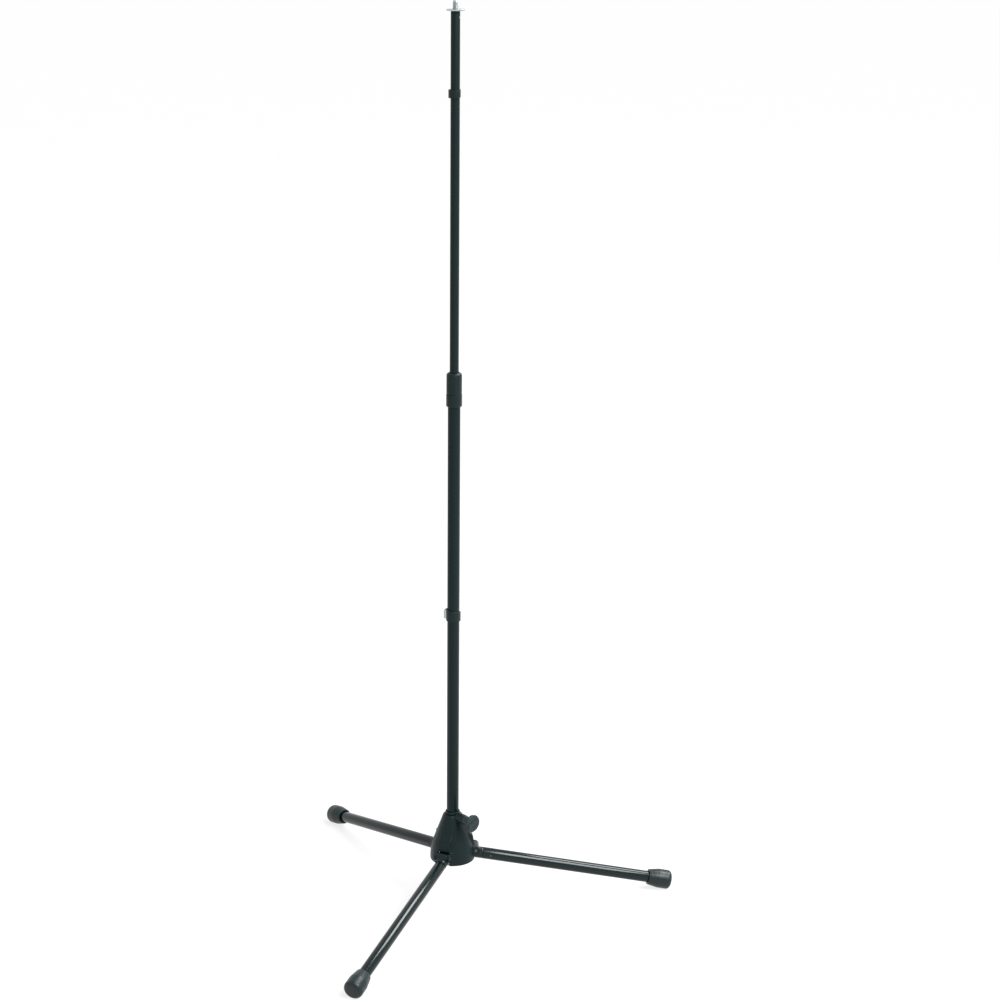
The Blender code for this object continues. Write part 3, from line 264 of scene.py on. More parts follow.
# Camera, fitted to the mast and the three legs of the photograph
CAMERA_PLACE = Vector((MAST_X - 0.3518, -3.5498, 1.8273))
CAMERA_AZIMUTH = math.radians(83.055)
CAMERA_TILT = math.radians(16.656)
CAMERA_ROLL = math.radians(0.571)
CAMERA_LENS = 77.42
CAMERA_SENSOR = 36.0

# Lamps, where the streaks on the legs say that they hang, all facing straight down
KEY_PLACE = (1.6, -2.0, 3.1)
KEY_SIZE = (1.8, 2.4)
BACK_PLACE = (2.2, 1.05, 3.1)
BACK_SIZE = (2.1, 1.2)

# The floor's own light, near the stand and beyond the lamps' reach, and how deep its shadow is
FLOOR_GLOW = (0.80, 0.93)
FLOOR_SHADOW = 0.30
FLOOR_SIZE = 160.0
FLOOR_DEPTH = 0.1 * MM
LAMP_REACH = (0.5, 5.0)


def length_property(name, description, default, low, high):
    return FloatProperty(
        name=name, description=description, default=default, min=low, max=high,
        unit="LENGTH", subtype="DISTANCE", precision=5,
    )


def count_property(name, description, default, low, high):
    return IntProperty(name=name, description=description, default=default, min=low, max=high)


def power_property(name, description, default):
    return FloatProperty(
        name=name, description=description, default=default, min=0.0, unit="POWER"
    )


def colour_property(name, description, default):
    return FloatVectorProperty(
        name=name, description=description, default=default, min=0.0, max=1.0,
        size=3, subtype="COLOR",
    )


class StandSizes(PropertyGroup):
    """Sizes of the details that stand on the frame's shapes."""

    edge_round: length_property(
        "Edge round", "Round of the turned edges", 0.5 * MM, 0.1 * MM, 1.0 * MM
    )
    casting_grid: length_property(
        "Casting grid", "Grid that rounds the edges of the castings", 0.7 * MM, 0.5 * MM, 2.0 * MM
    )
    knob_grid: length_property(
        "Knob grid", "Grid that rounds the edges of the knob", 0.4 * MM, 0.3 * MM, 1.0 * MM
    )
    turned_steps: count_property("Turned steps", "Steps round a turned piece", 96, 24, 256)
    knob_flutes: count_property("Knob flutes", "Flutes in the clamp knob's rim", 10, 3, 24)
    knob_flute_depth: length_property(
        "Flute depth", "Depth of the knob's flutes", 1.0 * MM, 0.2 * MM, 3.0 * MM
    )
    grip_grooves: count_property("Grip grooves", "Upright grooves in the grip", 9, 3, 24)
    grip_groove_depth: length_property(
        "Groove depth", "Depth of the grip's grooves", 0.4 * MM, 0.1 * MM, 1.0 * MM
    )
    disc_knurls: count_property("Disc knurls", "Notches round the lock disc", 36, 12, 72)
    knurl_depth: length_property(
        "Knurl depth", "Depth of the disc's knurls", 0.35 * MM, 0.1 * MM, 1.0 * MM
    )
    thread_pitch: length_property(
        "Thread pitch", "Pitch of the stud's thread", 1.5875 * MM, 1.0 * MM, 2.0 * MM
    )
    thread_depth: length_property(
        "Thread depth", "Depth of the stud's thread", 0.75 * MM, 0.2 * MM, 1.0 * MM
    )


class StandColours(PropertyGroup):
    """Base colours of the finishes."""

    black_cast: colour_property(
        "Casting coat", "Satin coat of the castings", (0.0010, 0.0098, 0.0103)
    )
    black_paint: colour_property(
        "Mast coat", "Semi-gloss coat of the mast", (0.0010, 0.0092, 0.0097)
    )
    gloss_paint: colour_property(
        "Leg coat", "Gloss coat of the legs", (0.0008, 0.0082, 0.0087)
    )
    black_plastic: colour_property(
        "Black plastic", "Moulded plastic", (0.0012, 0.0100, 0.0105)
    )
    # Painted light: the knob is the same black plastic as the other mouldings, and its colour is painted paler to
    # stand in for the light on its lit face.
    knob_plastic: colour_property(
        "Knob plastic", "Moulded plastic of the clamp knob, painted paler as its light", (0.0130, 0.0240, 0.0250)
    )
    black_rubber: colour_property("Rubber", "Rubber of the feet", (0.0028, 0.0120, 0.0128))
    zinc: colour_property("Zinc plate", "Plated steel", (0.44, 0.48, 0.48))
    dark_steel: colour_property("Dark steel", "Oxidised steel", (0.09, 0.095, 0.10))


class StandStage(PropertyGroup):
    """Floor and lamps of the picture."""

    floor_colour: colour_property("Floor", "Colour of the floor", (0.82, 0.82, 0.82))
    key_power: power_property("Key power", "Lamp in front on the right", 210.0)
    back_power: power_property("Back power", "Lamp behind on the right", 125.0)
    surround: FloatProperty(
        name="Surround", description="Light that comes from all round", default=0.25, min=0.0,
        max=1.0, subtype="FACTOR",
    )


# Frames of reference

def axis_frame(axis, origin, across=None):
    """A matrix whose Z runs along an axis, and whose X lies towards another way."""
    along = Vector(axis).normalized()
    side = Vector(across) if across else Vector((0.0, 0.0, 1.0)).cross(along)
    side = (side - along * side.dot(along)).normalized()
    other = along.cross(side)
    turn = Matrix((side, other, along)).transposed().to_4x4()
    return Matrix.Translation(origin) @ turn


UPRIGHT = Matrix.Translation((MAST_X, 0.0, 0.0))
LEG_PIVOT = Vector((MAST_X + PIVOT_RADIUS, 0.0, PIVOT_HEIGHT))
LEG_WAY = Vector((math.cos(LEG_SLOPE), 0.0, -math.sin(LEG_SLOPE)))
LEG_DOWN = Vector((-math.sin(LEG_SLOPE), 0.0, -math.cos(LEG_SLOPE)))
LEG_FOOT_OF_DROP = LEG_PIVOT + LEG_DOWN * LEG_DROP
LEG_LINE = axis_frame(LEG_WAY, LEG_FOOT_OF_DROP, (0.0, 1.0, 0.0))
ACROSS_PIVOT = axis_frame((0.0, 1.0, 0.0), LEG_PIVOT, (1.0, 0.0, 0.0))
RIVET_PLACE = LEG_FOOT_OF_DROP + LEG_WAY * (COLLAR_LENGTH + SPIGOT_LENGTH / 2.0)
RIVET_LINE = axis_frame((0.0, 1.0, 0.0), RIVET_PLACE, (1.0, 0.0, 0.0))
CLAMP_LINE = axis_frame(CLAMP_AXIS, (MAST_X, 0.0, CLAMP_HEIGHT))


# Modelling by operators

def deselect():
    if bpy.context.object and bpy.context.object.mode != "OBJECT":
        bpy.ops.object.mode_set(mode="OBJECT")
    bpy.ops.object.select_all(action="DESELECT")


def pick(piece):
    """Make a piece the only one that is selected."""
    deselect()
    piece.select_set(True)
    bpy.context.view_layer.objects.active = piece


def edit(piece):
    pick(piece)
    bpy.ops.object.mode_set(mode="EDIT")


def eased(points, closed=False):
    """A line with rounded corners. Each point is across, along and, if it has one, its round."""
    line = []
    count = len(points)
    for i, point in enumerate(points):
        corner = Vector(point[:2])
        size = point[2] if len(point) > 2 else 0.0
        if not size or (not closed and i in (0, count - 1)):
            line.append(corner)
            continue
        back = Vector(points[i - 1][:2]) - corner
        on = Vector(points[(i + 1) % count][:2]) - corner
        half = back.angle(on) / 2.0
        reach = size / math.tan(half)
        centre = corner + (back.normalized() + on.normalized()).normalized() * size / math.sin(half)
        arm = corner + back.normalized() * reach - centre
        side = 1.0 if back.x * on.y - back.y * on.x < 0.0 else -1.0
        steps = EASE_STEPS + int(size / EASE_LENGTH)
        for step in range(steps + 1):
            swing = side * (math.pi - 2.0 * half) * step / steps
            line.append(centre + Matrix.Rotation(swing, 2) @ arm)
    return line


def draw_line(name, points):
    """Start a piece at one corner, and draw its line by extruding from there."""
    deselect()
    bpy.ops.mesh.primitive_plane_add(size=MM, location=points[0])
    piece = bpy.context.object
    piece.name = name
    bpy.ops.object.mode_set(mode="EDIT")
    bpy.ops.mesh.merge(type="CENTER")
    for here, there in zip(points, points[1:]):
        bpy.ops.mesh.extrude_vertices_move(TRANSFORM_OT_translate={"value": there - here})
    bpy.ops.mesh.select_all(action="SELECT")
    return piece


def close_up(piece):
    """Merge the seams and poles, turn the faces outwards, and leave edit mode."""
    bpy.ops.mesh.select_all(action="SELECT")
    bpy.ops.mesh.remove_doubles(threshold=MERGE_DISTANCE)
    bpy.ops.mesh.normals_make_consistent(inside=False)
    bpy.ops.object.mode_set(mode="OBJECT")
    bpy.ops.object.transform_apply(location=True, rotation=True, scale=True)
    return piece


def turn_piece(name, place, points, steps=None, angle=FULL_TURN, start=0.0):
    """Spin a section about a frame's Z. Its points are radius, height and round."""
    is_solid = points[0][0] == 0.0 and points[-1][0] == 0.0
    line = eased(points, closed=not is_solid)
    if not is_solid:
        line.append(line[0])
    swing = place @ Matrix.Rotation(start, 4, "Z")
    corners = [swing @ Vector((x, 0.0, z)) for x, z in line]
    piece = draw_line(name, corners)
    axis = place.to_3x3() @ Vector((0.0, 0.0, 1.0))
    full = abs(angle - FULL_TURN) < 1e-6
    count = steps or bpy.context.scene.stand_sizes.turned_steps
    bpy.ops.mesh.spin(
        steps=count, dupli=False, angle=angle, use_auto_merge=full, center=place.translation,
        axis=axis,
    )
    if not full:
        bpy.ops.mesh.select_all(action="SELECT")
        bpy.ops.mesh.remove_doubles(threshold=MERGE_DISTANCE)
        bpy.ops.mesh.select_all(action="DESELECT")
        bpy.ops.mesh.select_non_manifold()
        bpy.ops.mesh.edge_face_add()
    return close_up(piece)


def plate_piece(name, place, points, half):
    """Fill an outline in a frame's XY plane, and extrude it to both sides."""
    line = eased(points, closed=True)
    corners = [place @ Vector((x, y, -half)) for x, y in line]
    piece = draw_line(name, corners + corners[:1])
    bpy.ops.mesh.remove_doubles(threshold=MERGE_DISTANCE)
    bpy.ops.mesh.edge_face_add()
    way = place.to_3x3() @ Vector((0.0, 0.0, 2.0 * half))
    bpy.ops.mesh.extrude_region_move(TRANSFORM_OT_translate={"value": way})
    return close_up(piece)


def rod_piece(name, place, radius, bottom, top, round_size=0.0, steps=None):
    points = [(0.0, top), (radius, top, round_size), (radius, bottom, round_size), (0.0, bottom)]
    return turn_piece(name, place, points, steps)


def copy_round(piece, name, degrees):
    """Copy a piece, and carry the copy round the mast."""
    pick(piece)
    bpy.ops.object.duplicate(linked=False)
    copy = bpy.context.object
    copy.name = name
    turned = Matrix.Rotation(math.radians(degrees), 4, "Z")
    copy.matrix_world = UPRIGHT @ turned @ UPRIGHT.inverted() @ copy.matrix_world
    bpy.context.view_layer.update()
    bpy.ops.object.transform_apply(location=True, rotation=True, scale=True)
    return copy


def join_pieces(pieces):
    pick(pieces[0])
    for piece in pieces:
        piece.select_set(True)
    bpy.ops.object.join()
    return pieces[0]


def apply_modifier(piece, kind, **settings):
    pick(piece)
    bpy.ops.object.modifier_add(type=kind)
    modifier = piece.modifiers[-1]
    for setting, value in settings.items():
        setattr(modifier, setting, value)
    bpy.ops.object.modifier_apply(modifier=modifier.name)


def combine(piece, tool, operation):
    """Join a tool to a piece, or cut the piece with it. The tool is used up."""
    apply_modifier(piece, "BOOLEAN", object=tool, operation=operation, solver="EXACT")
    bpy.data.objects.remove(tool, do_unlink=True)


def combine_all(piece, tool, operation):
    """Combine a piece with a tool and with its copies for the other two legs."""
    copies = [copy_round(tool, tool.name + "_copy", degrees) for degrees in (120.0, -120.0)]
    for each in [tool] + copies:
        combine(piece, each, operation)


def cut_level(height, way):
    """In edit mode, cut a piece off at a height, above it for 1 or below it for -1."""
    bpy.ops.mesh.select_all(action="SELECT")
    bpy.ops.mesh.bisect(
        plane_co=(MAST_X, 0.0, height), plane_no=(0.0, 0.0, way), use_fill=True,
        clear_outer=True, threshold=MERGE_DISTANCE,
    )


def cut_round(piece, place, count, radius, reach, bottom, top, ease=0.0, start=0.0):
    """Cut grooves into the rim of a piece, evenly spaced and along its axis."""
    tools = []
    for i in range(count):
        angle = FULL_TURN * i / count + start
        shift = Matrix.Translation((reach * math.cos(angle), reach * math.sin(angle), 0.0))
        tools.append(rod_piece("groove", place @ shift, radius, bottom, top, ease, BORE_STEPS))
    combine(piece, join_pieces(tools), "DIFFERENCE")


def soften(piece, grid, rounds, keep):
    """Round every edge of a casting: remesh it, smooth it some rounds, keep a share of it."""
    apply_modifier(piece, "REMESH", mode="VOXEL", voxel_size=grid)
    apply_modifier(piece, "SMOOTH", factor=0.5, iterations=rounds)
    apply_modifier(piece, "DECIMATE", decimate_type="COLLAPSE", ratio=keep)


def finish(piece, body, slot, nodes=(), angle=35.0, all_smooth=False, coat=None):
    """Shade a piece, give it its finish, and let it ride in place of CAD nodes."""
    pick(piece)
    if all_smooth:
        bpy.ops.object.shade_smooth()
    else:
        bpy.ops.object.shade_smooth_by_angle(angle=math.radians(angle))
    piece.data.materials.clear()
    piece.data.materials.append(stand_material(coat or slot))
    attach(piece, body)
    if nodes:
        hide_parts(*nodes)
    deselect()


def finish_legs(first, body, slot, node, **looks):
    """Copy the piece of leg 1 for legs 2 and 3, and finish all three."""
    stem = first.name[:-1]
    pieces = [first, copy_round(first, stem + "2", 120.0), copy_round(first, stem + "3", -120.0)]
    for number, piece in enumerate(pieces, 1):
        finish(piece, body.format(number), slot, [f"{node}_{number}"], **looks)


# Finishes

def math_node(tree, operation, first, second=None, third=None, clamp=False):
    node = tree.nodes.new("ShaderNodeMath")
    node.operation = operation
    node.use_clamp = clamp
    for socket, value in zip(node.inputs, (first, second, third)):
        if value is None:
            continue
        if isinstance(value, (int, float)):
            socket.default_value = value
        else:
            tree.links.new(value, socket)
    return node.outputs[0]


def noise_node(tree, vector, scale, detail=2.0, roughness=0.5):
    node = tree.nodes.new("ShaderNodeTexNoise")
    tree.links.new(vector, node.inputs["Vector"])
    for label, value in (("Scale", scale), ("Detail", detail), ("Roughness", roughness)):
        if isinstance(value, (int, float)):
            node.inputs[label].default_value = value
        else:
            tree.links.new(value, node.inputs[label])
    return node.outputs["Fac"]


def spread_node(tree, value, low, high, to_low=0.0, to_high=1.0):
    node = tree.nodes.new("ShaderNodeMapRange")
    tree.links.new(value, node.inputs["Value"])
    for label, limit in (
        ("From Min", low), ("From Max", high), ("To Min", to_low), ("To Max", to_high),
    ):
        node.inputs[label].default_value = limit
    return node.outputs["Result"]


# Ranges that turn a noise or a bend of the surface into a mask
EDGE_BEND = (0.515, 0.58)
FINE_SCUFFS = (0.60, 0.74)
BROAD_SCUFFS = (0.48, 0.66)


def build_grain(group, vector, peel_scale, grain_scale, grain_share):
    """Orange peel and fine grain of a coat or a moulding, and a slow change of tone."""
    peel = noise_node(group, vector, peel_scale, 1.0, 0.4)
    grain = noise_node(group, vector, grain_scale, 2.0, 0.6)
    height = math_node(group, "ADD", peel, math_node(group, "MULTIPLY", grain, grain_share))
    return height, noise_node(group, vector, 14.0, 4.0, 0.55)


def build_wear(group, vector, breakup_scale, reach):
    """Worn places: along sharp edges, broken up by a noise."""
    geometry = group.nodes.new("ShaderNodeNewGeometry")
    edge = spread_node(group, geometry.outputs["Pointiness"], *EDGE_BEND)
    mask = math_node(group, "MULTIPLY", edge, noise_node(group, vector, breakup_scale, 3.0, 0.6))
    return (math_node(group, "MULTIPLY", mask, reach, clamp=True),)


def build_scuffs(group, vector, scale):
    """Faint scuffs of use, long along one way, from a vector that the material stretches."""
    fine = spread_node(group, noise_node(group, vector, scale, 5.0, 0.7), *FINE_SCUFFS)
    broad = spread_node(group, noise_node(group, vector, 9.0, 2.0, 0.5), *BROAD_SCUFFS)
    return (math_node(group, "MULTIPLY", fine, broad, clamp=True),)


def build_rings(group, vector, rings):
    """Fine rings of a lathe tool, round the upright axis of a vector."""
    split = group.nodes.new("ShaderNodeSeparateXYZ")
    group.links.new(vector, split.inputs[0])
    x, y, z = split.outputs
    squares = math_node(
        group, "ADD", math_node(group, "MULTIPLY", x, x), math_node(group, "MULTIPLY", y, y)
    )
    total = math_node(group, "ADD", math_node(group, "SQRT", squares), z)
    ring = group.nodes.new("ShaderNodeTexNoise")
    ring.noise_dimensions = "1D"
    group.links.new(math_node(group, "MULTIPLY", total, rings), ring.inputs["W"])
    ring.inputs["Scale"].default_value = 1.0
    ring.inputs["Detail"].default_value = 2.0
    return (ring.outputs["Fac"],)


# Each shared group: how it is built, its inputs beside the vector, and its outputs
NODE_GROUPS = {
    "surface_grain": (
        build_grain, {"Peel Scale": 350.0, "Grain Scale": 2600.0, "Grain Share": 0.3},
        ("Height", "Tone"),
    ),
    "edge_wear": (build_wear, {"Breakup Scale": 220.0, "Reach": 0.5}, ("Mask",)),
    "scuffs": (build_scuffs, {"Scale": 90.0}, ("Mask",)),
    "turning_marks": (build_rings, {"Rings": 4000.0}, ("Height",)),
}


def shared_group(name):
    """A shared node group, built the first time that it is asked for."""
    if name in bpy.data.node_groups:
        return bpy.data.node_groups[name]
    build, inputs, outputs = NODE_GROUPS[name]
    group = bpy.data.node_groups.new(name, "ShaderNodeTree")
    add_socket = group.interface.new_socket
    add_socket(name="Vector", in_out="INPUT", socket_type="NodeSocketVector")
    for label, value in inputs.items():
        socket = add_socket(name=label, in_out="INPUT", socket_type="NodeSocketFloat")
        socket.default_value = value
    for label in outputs:
        add_socket(name=label, in_out="OUTPUT", socket_type="NodeSocketFloat")
    start, end = group.nodes.new("NodeGroupInput"), group.nodes.new("NodeGroupOutput")
    results = build(group, *(start.outputs[label] for label in ("Vector", *inputs)))
    for label, result in zip(outputs, results):
        group.links.new(result, end.inputs[label])
    return group


def place_group(tree, name, **values):
    """Put a shared node group in a material with its own values or links."""
    node = tree.nodes.new("ShaderNodeGroup")
    node.node_tree = shared_group(name)
    for label, value in values.items():
        socket = node.inputs[label.replace("_", " ").title()]
        if isinstance(value, (int, float)):
            socket.default_value = value
        else:
            tree.links.new(value, socket)
    return node


def mix_colours(tree, factor, first, second):
    node = tree.nodes.new("ShaderNodeMix")
    node.data_type = "RGBA"
    tree.links.new(factor, node.inputs["Factor"])
    for socket, value in ((node.inputs["A"], first), (node.inputs["B"], second)):
        if isinstance(value, tuple):
            socket.default_value = value
        else:
            tree.links.new(value, socket)
    return node.outputs["Result"]


def shade(colour, factor):
    return tuple(min(1.0, part * factor) for part in colour) + (1.0,)


# Peel and grain scales per metre, depth of the bump, and then the shader's own values.
# A finish says only what differs from the plain one.
PLAIN_FINISH = {
    "peel": 600.0, "grain": 3200.0, "share": 0.5, "depth": 0.03 * MM, "rough": (0.30, 0.42),
    "wear": 0.4, "wear_tone": 2.2, "scuff": 0.4, "stretch": (1.0, 1.0, 1.0),
    "specular": 0.5, "coat": 0.0, "metallic": 0.0,
}
FINISHES = {
    "black_cast": {
        "peel": 480.0, "grain": 2000.0, "share": 0.6, "depth": 0.22 * MM, "rough": (0.28, 0.40),
        "wear": 0.55, "wear_tone": 3.2, "scuff": 0.25, "specular": 0.22,
    },
    "black_paint": {
        "peel": 300.0, "grain": 2200.0, "share": 0.3, "depth": 0.06 * MM,
        "wear": 0.3, "scuff": 0.35, "stretch": (6.0, 6.0, 0.35), "specular": 0.20,
    },
    "gloss_paint": {
        "peel": 200.0, "grain": 2600.0, "share": 0.05, "depth": 0.012 * MM, "rough": (0.08, 0.14),
        "wear": 0.25, "scuff": 0.08, "stretch": (1.0, 1.0, 5.0), "specular": 0.22, "coat": 0.15,
    },
    "gloss_cast": {
        "colour": "gloss_paint",
        "peel": 240.0, "grain": 2400.0, "share": 0.1, "depth": 0.02 * MM, "rough": (0.12, 0.20),
        "wear_tone": 2.6, "scuff": 0.1, "specular": 0.22, "coat": 0.15,
    },
    "black_plastic": {
        "peel": 900.0, "share": 0.9, "depth": 0.12 * MM,
        "wear": 0.45, "wear_tone": 2.6, "scuff": 0.2, "specular": 0.24,
    },
    # Painted light: a paler copy of the black plastic, standing in for the light on the knob's face.
    "knob_plastic": {
        "peel": 900.0, "grain": 4200.0, "share": 0.8, "depth": 0.08 * MM, "rough": (0.28, 0.40),
        "wear": 0.5, "scuff": 0.3, "specular": 0.32,
    },
    "black_rubber": {
        "peel": 700.0, "grain": 2400.0, "share": 1.0, "depth": 0.13 * MM, "rough": (0.28, 0.40),
        "wear": 0.6, "wear_tone": 1.8, "scuff": 0.6, "specular": 0.36,
    },
    "zinc": {"rough": (0.24, 0.38), "wear_tone": 1.25, "scuff": 0.5, "metallic": 1.0},
    "dark_steel": {"rough": (0.32, 0.46), "wear": 0.6, "metallic": 1.0},
}
COAT_ROUGHNESS = 0.08
TONE_RANGE = (0.82, 1.18)
TONE_NOISE_RANGE = (0.3, 0.7)
SCUFF_ROUGHNESS = 0.4
WEAR_ROUGHNESS = -0.12


def stand_material(name):
    """The finish of a material slot, made once."""
    full_name = name + "_finish"
    if full_name in bpy.data.materials:
        return bpy.data.materials[full_name]
    values = {**PLAIN_FINISH, **FINISHES[name]}
    colour = tuple(getattr(bpy.context.scene.stand_colours, values.get("colour", name)))
    material = bpy.data.materials.new(full_name)
    material.use_nodes = True
    tree = material.node_tree
    shader = tree.nodes["Principled BSDF"]
    shader.inputs["Specular IOR Level"].default_value = values["specular"]
    shader.inputs["Metallic"].default_value = values["metallic"]
    shader.inputs["Coat Weight"].default_value = values["coat"]
    shader.inputs["Coat Roughness"].default_value = COAT_ROUGHNESS

    place = tree.nodes.new("ShaderNodeTexCoord")
    centred = tree.nodes.new("ShaderNodeMapping")
    centred.inputs["Location"].default_value = (-MAST_X, 0.0, 0.0)
    tree.links.new(place.outputs["Object"], centred.inputs["Vector"])
    vector = centred.outputs["Vector"]
    stretched = tree.nodes.new("ShaderNodeMapping")
    stretched.inputs["Scale"].default_value = values["stretch"]
    tree.links.new(vector, stretched.inputs["Vector"])

    grain = place_group(
        tree, "surface_grain", vector=vector, peel_scale=values["peel"],
        grain_scale=values["grain"], grain_share=values["share"],
    )
    wear = place_group(tree, "edge_wear", vector=vector, reach=values["wear"])
    scuffs = place_group(tree, "scuffs", vector=stretched.outputs["Vector"])
    dark, pale = (shade(colour, share) for share in TONE_RANGE)
    tone = mix_colours(tree, grain.outputs["Tone"], dark, pale)
    worn = mix_colours(tree, wear.outputs["Mask"], tone, shade(colour, values["wear_tone"]))
    tree.links.new(worn, shader.inputs["Base Color"])

    rough = spread_node(tree, grain.outputs["Tone"], *TONE_NOISE_RANGE, *values["rough"])
    scuffed = values["scuff"] * SCUFF_ROUGHNESS
    marks = math_node(tree, "MULTIPLY", scuffs.outputs["Mask"], scuffed)
    rough = math_node(tree, "ADD", rough, marks)
    rubbed = math_node(tree, "MULTIPLY", wear.outputs["Mask"], WEAR_ROUGHNESS)
    tree.links.new(math_node(tree, "ADD", rough, rubbed, clamp=True), shader.inputs["Roughness"])

    height = grain.outputs["Height"]
    if values["metallic"]:
        turning = place_group(tree, "turning_marks", vector=vector)
        height = math_node(tree, "ADD", height, turning.outputs["Height"])
    bump = tree.nodes.new("ShaderNodeBump")
    bump.inputs["Strength"].default_value = 1.0
    bump.inputs["Distance"].default_value = values["depth"]
    tree.links.new(height, bump.inputs["Height"])
    tree.links.new(bump.outputs["Normal"], shader.inputs["Normal"])
    return material


# Pieces

class MastTubes(Operator):
    """Model the two telescoping tubes of the mast."""

    bl_idname = "stand.mast_tubes"
    bl_label = "Mast tubes"

    def execute(self, context):
        edge = context.scene.stand_sizes.edge_round * INNER_EDGE
        for name, body, radius, bore, ends in (
            ("lower_tube", "mast", LOWER_TUBE_RADIUS, LOWER_TUBE_BORE, heights("lower_tube")),
            ("upper_tube", "upper_mast", UPPER_TUBE_RADIUS, UPPER_TUBE_BORE, heights("upper_tube")),
        ):
            bottom, top = ends
            section = [
                (radius, top, edge), (radius, bottom, edge), (bore, bottom, edge),
                (bore, top, edge),
            ]
            tube = turn_piece("mast_" + name, UPRIGHT, section)
            finish(tube, body, "black_paint", [name])
        return {"FINISHED"}


def hub_outline():
    """The bell's outer side, from the top of the neck down to the skirt's edge."""
    cone_top = HUB_TOP - HUB_LIP_HEIGHT
    run = (HUB_SKIRT_RADIUS - HUB_SHOULDER_RADIUS) / math.tan(HUB_CONE_ANGLE)
    return [
        (0.0, HUB_TOP), (HUB_NECK_RADIUS, HUB_TOP, HUB_NECK_ROUND),
        (HUB_SHOULDER_RADIUS, cone_top, HUB_NECK_ROUND),
        (HUB_SKIRT_RADIUS, cone_top - run, HUB_BELL_ROUND),
        (HUB_SKIRT_RADIUS, HUB_BOTTOM, HUB_SKIRT_ROUND), (0.0, HUB_BOTTOM),
    ]


def cavity_outline():
    """The hollow of the bell, with the bore of the neck."""
    inner = HUB_SKIRT_RADIUS - HUB_WALL
    run = math.tan(HUB_CONE_ANGLE)
    drop = HUB_TOP - HUB_LIP_HEIGHT - HUB_CAVITY_TOP
    top_radius = HUB_SHOULDER_RADIUS + drop * run - HUB_WALL / math.cos(HUB_CONE_ANGLE)
    side_top = HUB_CAVITY_TOP - (inner - top_radius) / run - HUB_WALL
    top_round, side_round = HUB_CAVITY_ROUNDS
    return [
        (0.0, HUB_TOP + HUB_WALL), (HUB_NECK_BORE, HUB_TOP + HUB_WALL),
        (HUB_NECK_BORE, HUB_CAVITY_TOP), (top_radius, HUB_CAVITY_TOP, top_round),
        (inner, side_top, side_round), (inner, HUB_BOTTOM - HUB_WALL),
        (0.0, HUB_BOTTOM - HUB_WALL),
    ]


def arc_points(centre, radius, start, end, steps):
    points = []
    for i in range(steps + 1):
        angle = start + (end - start) * i / steps
        x = centre[0] + radius * math.cos(angle)
        y = centre[1] + radius * math.sin(angle)
        points.append((x, y))
    return points


class HubCasting(Operator):
    """Model the bell of the hub, with its ears, pads, slots and clamp boss."""

    bl_idname = "stand.hub_casting"
    bl_label = "Hub casting"

    def execute(self, context):
        sizes = context.scene.stand_sizes
        hub = turn_piece("hub_bell", UPRIGHT, hub_outline())
        boss = rod_piece("boss", CLAMP_LINE, BOSS_RADIUS, HUB_NECK_RADIUS, BOSS_END)
        combine(hub, boss, "UNION")
        side = axis_frame((0.0, -1.0, 0.0), (MAST_X, 0.0, 0.0), (1.0, 0.0, 0.0))
        quarter = math.pi / 2.0
        ear = arc_points((PIVOT_RADIUS, PIVOT_HEIGHT), EAR_RADIUS, -quarter, quarter, 20)
        ear += [
            (EAR_ROOT_RADIUS, PIVOT_HEIGHT + EAR_RADIUS),
            (EAR_ROOT_RADIUS, PIVOT_HEIGHT - EAR_RADIUS),
        ]
        pad = [
            (PAD_ROOT_RADIUS, PIVOT_HEIGHT), (PIVOT_RADIUS - SLOT_TOP_GAP, PIVOT_HEIGHT),
            (PAD_TOP_RADIUS, PAD_TOP, PAD_TOP_ROUND),
            (PAD_TOP_RADIUS - PAD_FADE, PAD_TOP + PAD_FADE), (PAD_ROOT_RADIUS, PAD_TOP),
        ]
        slot_top = PIVOT_HEIGHT + EAR_RADIUS
        slot_root = PIVOT_RADIUS - NOSE_RADIUS - GAP
        fold = PIVOT_RADIUS + LEG_DROP - LEG_TUBE_RADIUS - GAP
        outside = HUB_SKIRT_RADIUS + EAR_RADIUS * 2.0
        slot = [
            (slot_root, HUB_BOTTOM - HUB_WALL), (outside, HUB_BOTTOM - HUB_WALL),
            (outside, HUB_TOP), (fold, HUB_TOP), (fold, slot_top), (slot_root, slot_top),
        ]
        for outline, half in ((ear, EAR_OUTER), (pad, PAD_HALF_WIDTH)):
            combine_all(hub, plate_piece("raised", side, outline, half), "UNION")
        combine(hub, turn_piece("cavity", UPRIGHT, cavity_outline()), "DIFFERENCE")
        combine_all(hub, plate_piece("slot", side, slot, SLOT_HALF_WIDTH), "DIFFERENCE")
        through = EAR_OUTER + HUB_WALL
        pin_hole = rod_piece(
            "pin_hole", ACROSS_PIVOT, PIN_RADIUS + GAP, -through, through, steps=BORE_STEPS
        )
        combine_all(hub, pin_hole, "DIFFERENCE")
        screw_hole = rod_piece(
            "screw_hole", CLAMP_LINE, SCREW_RADIUS + GAP, LOWER_TUBE_RADIUS / 2.0,
            BOSS_END + HUB_WALL, steps=48,
        )
        combine(hub, screw_hole, "DIFFERENCE")
        soften(hub, sizes.casting_grid, *HUB_SOFTENING)
        finish(hub, "base", "black_cast", ["hub"], all_smooth=True)
        return {"FINISHED"}


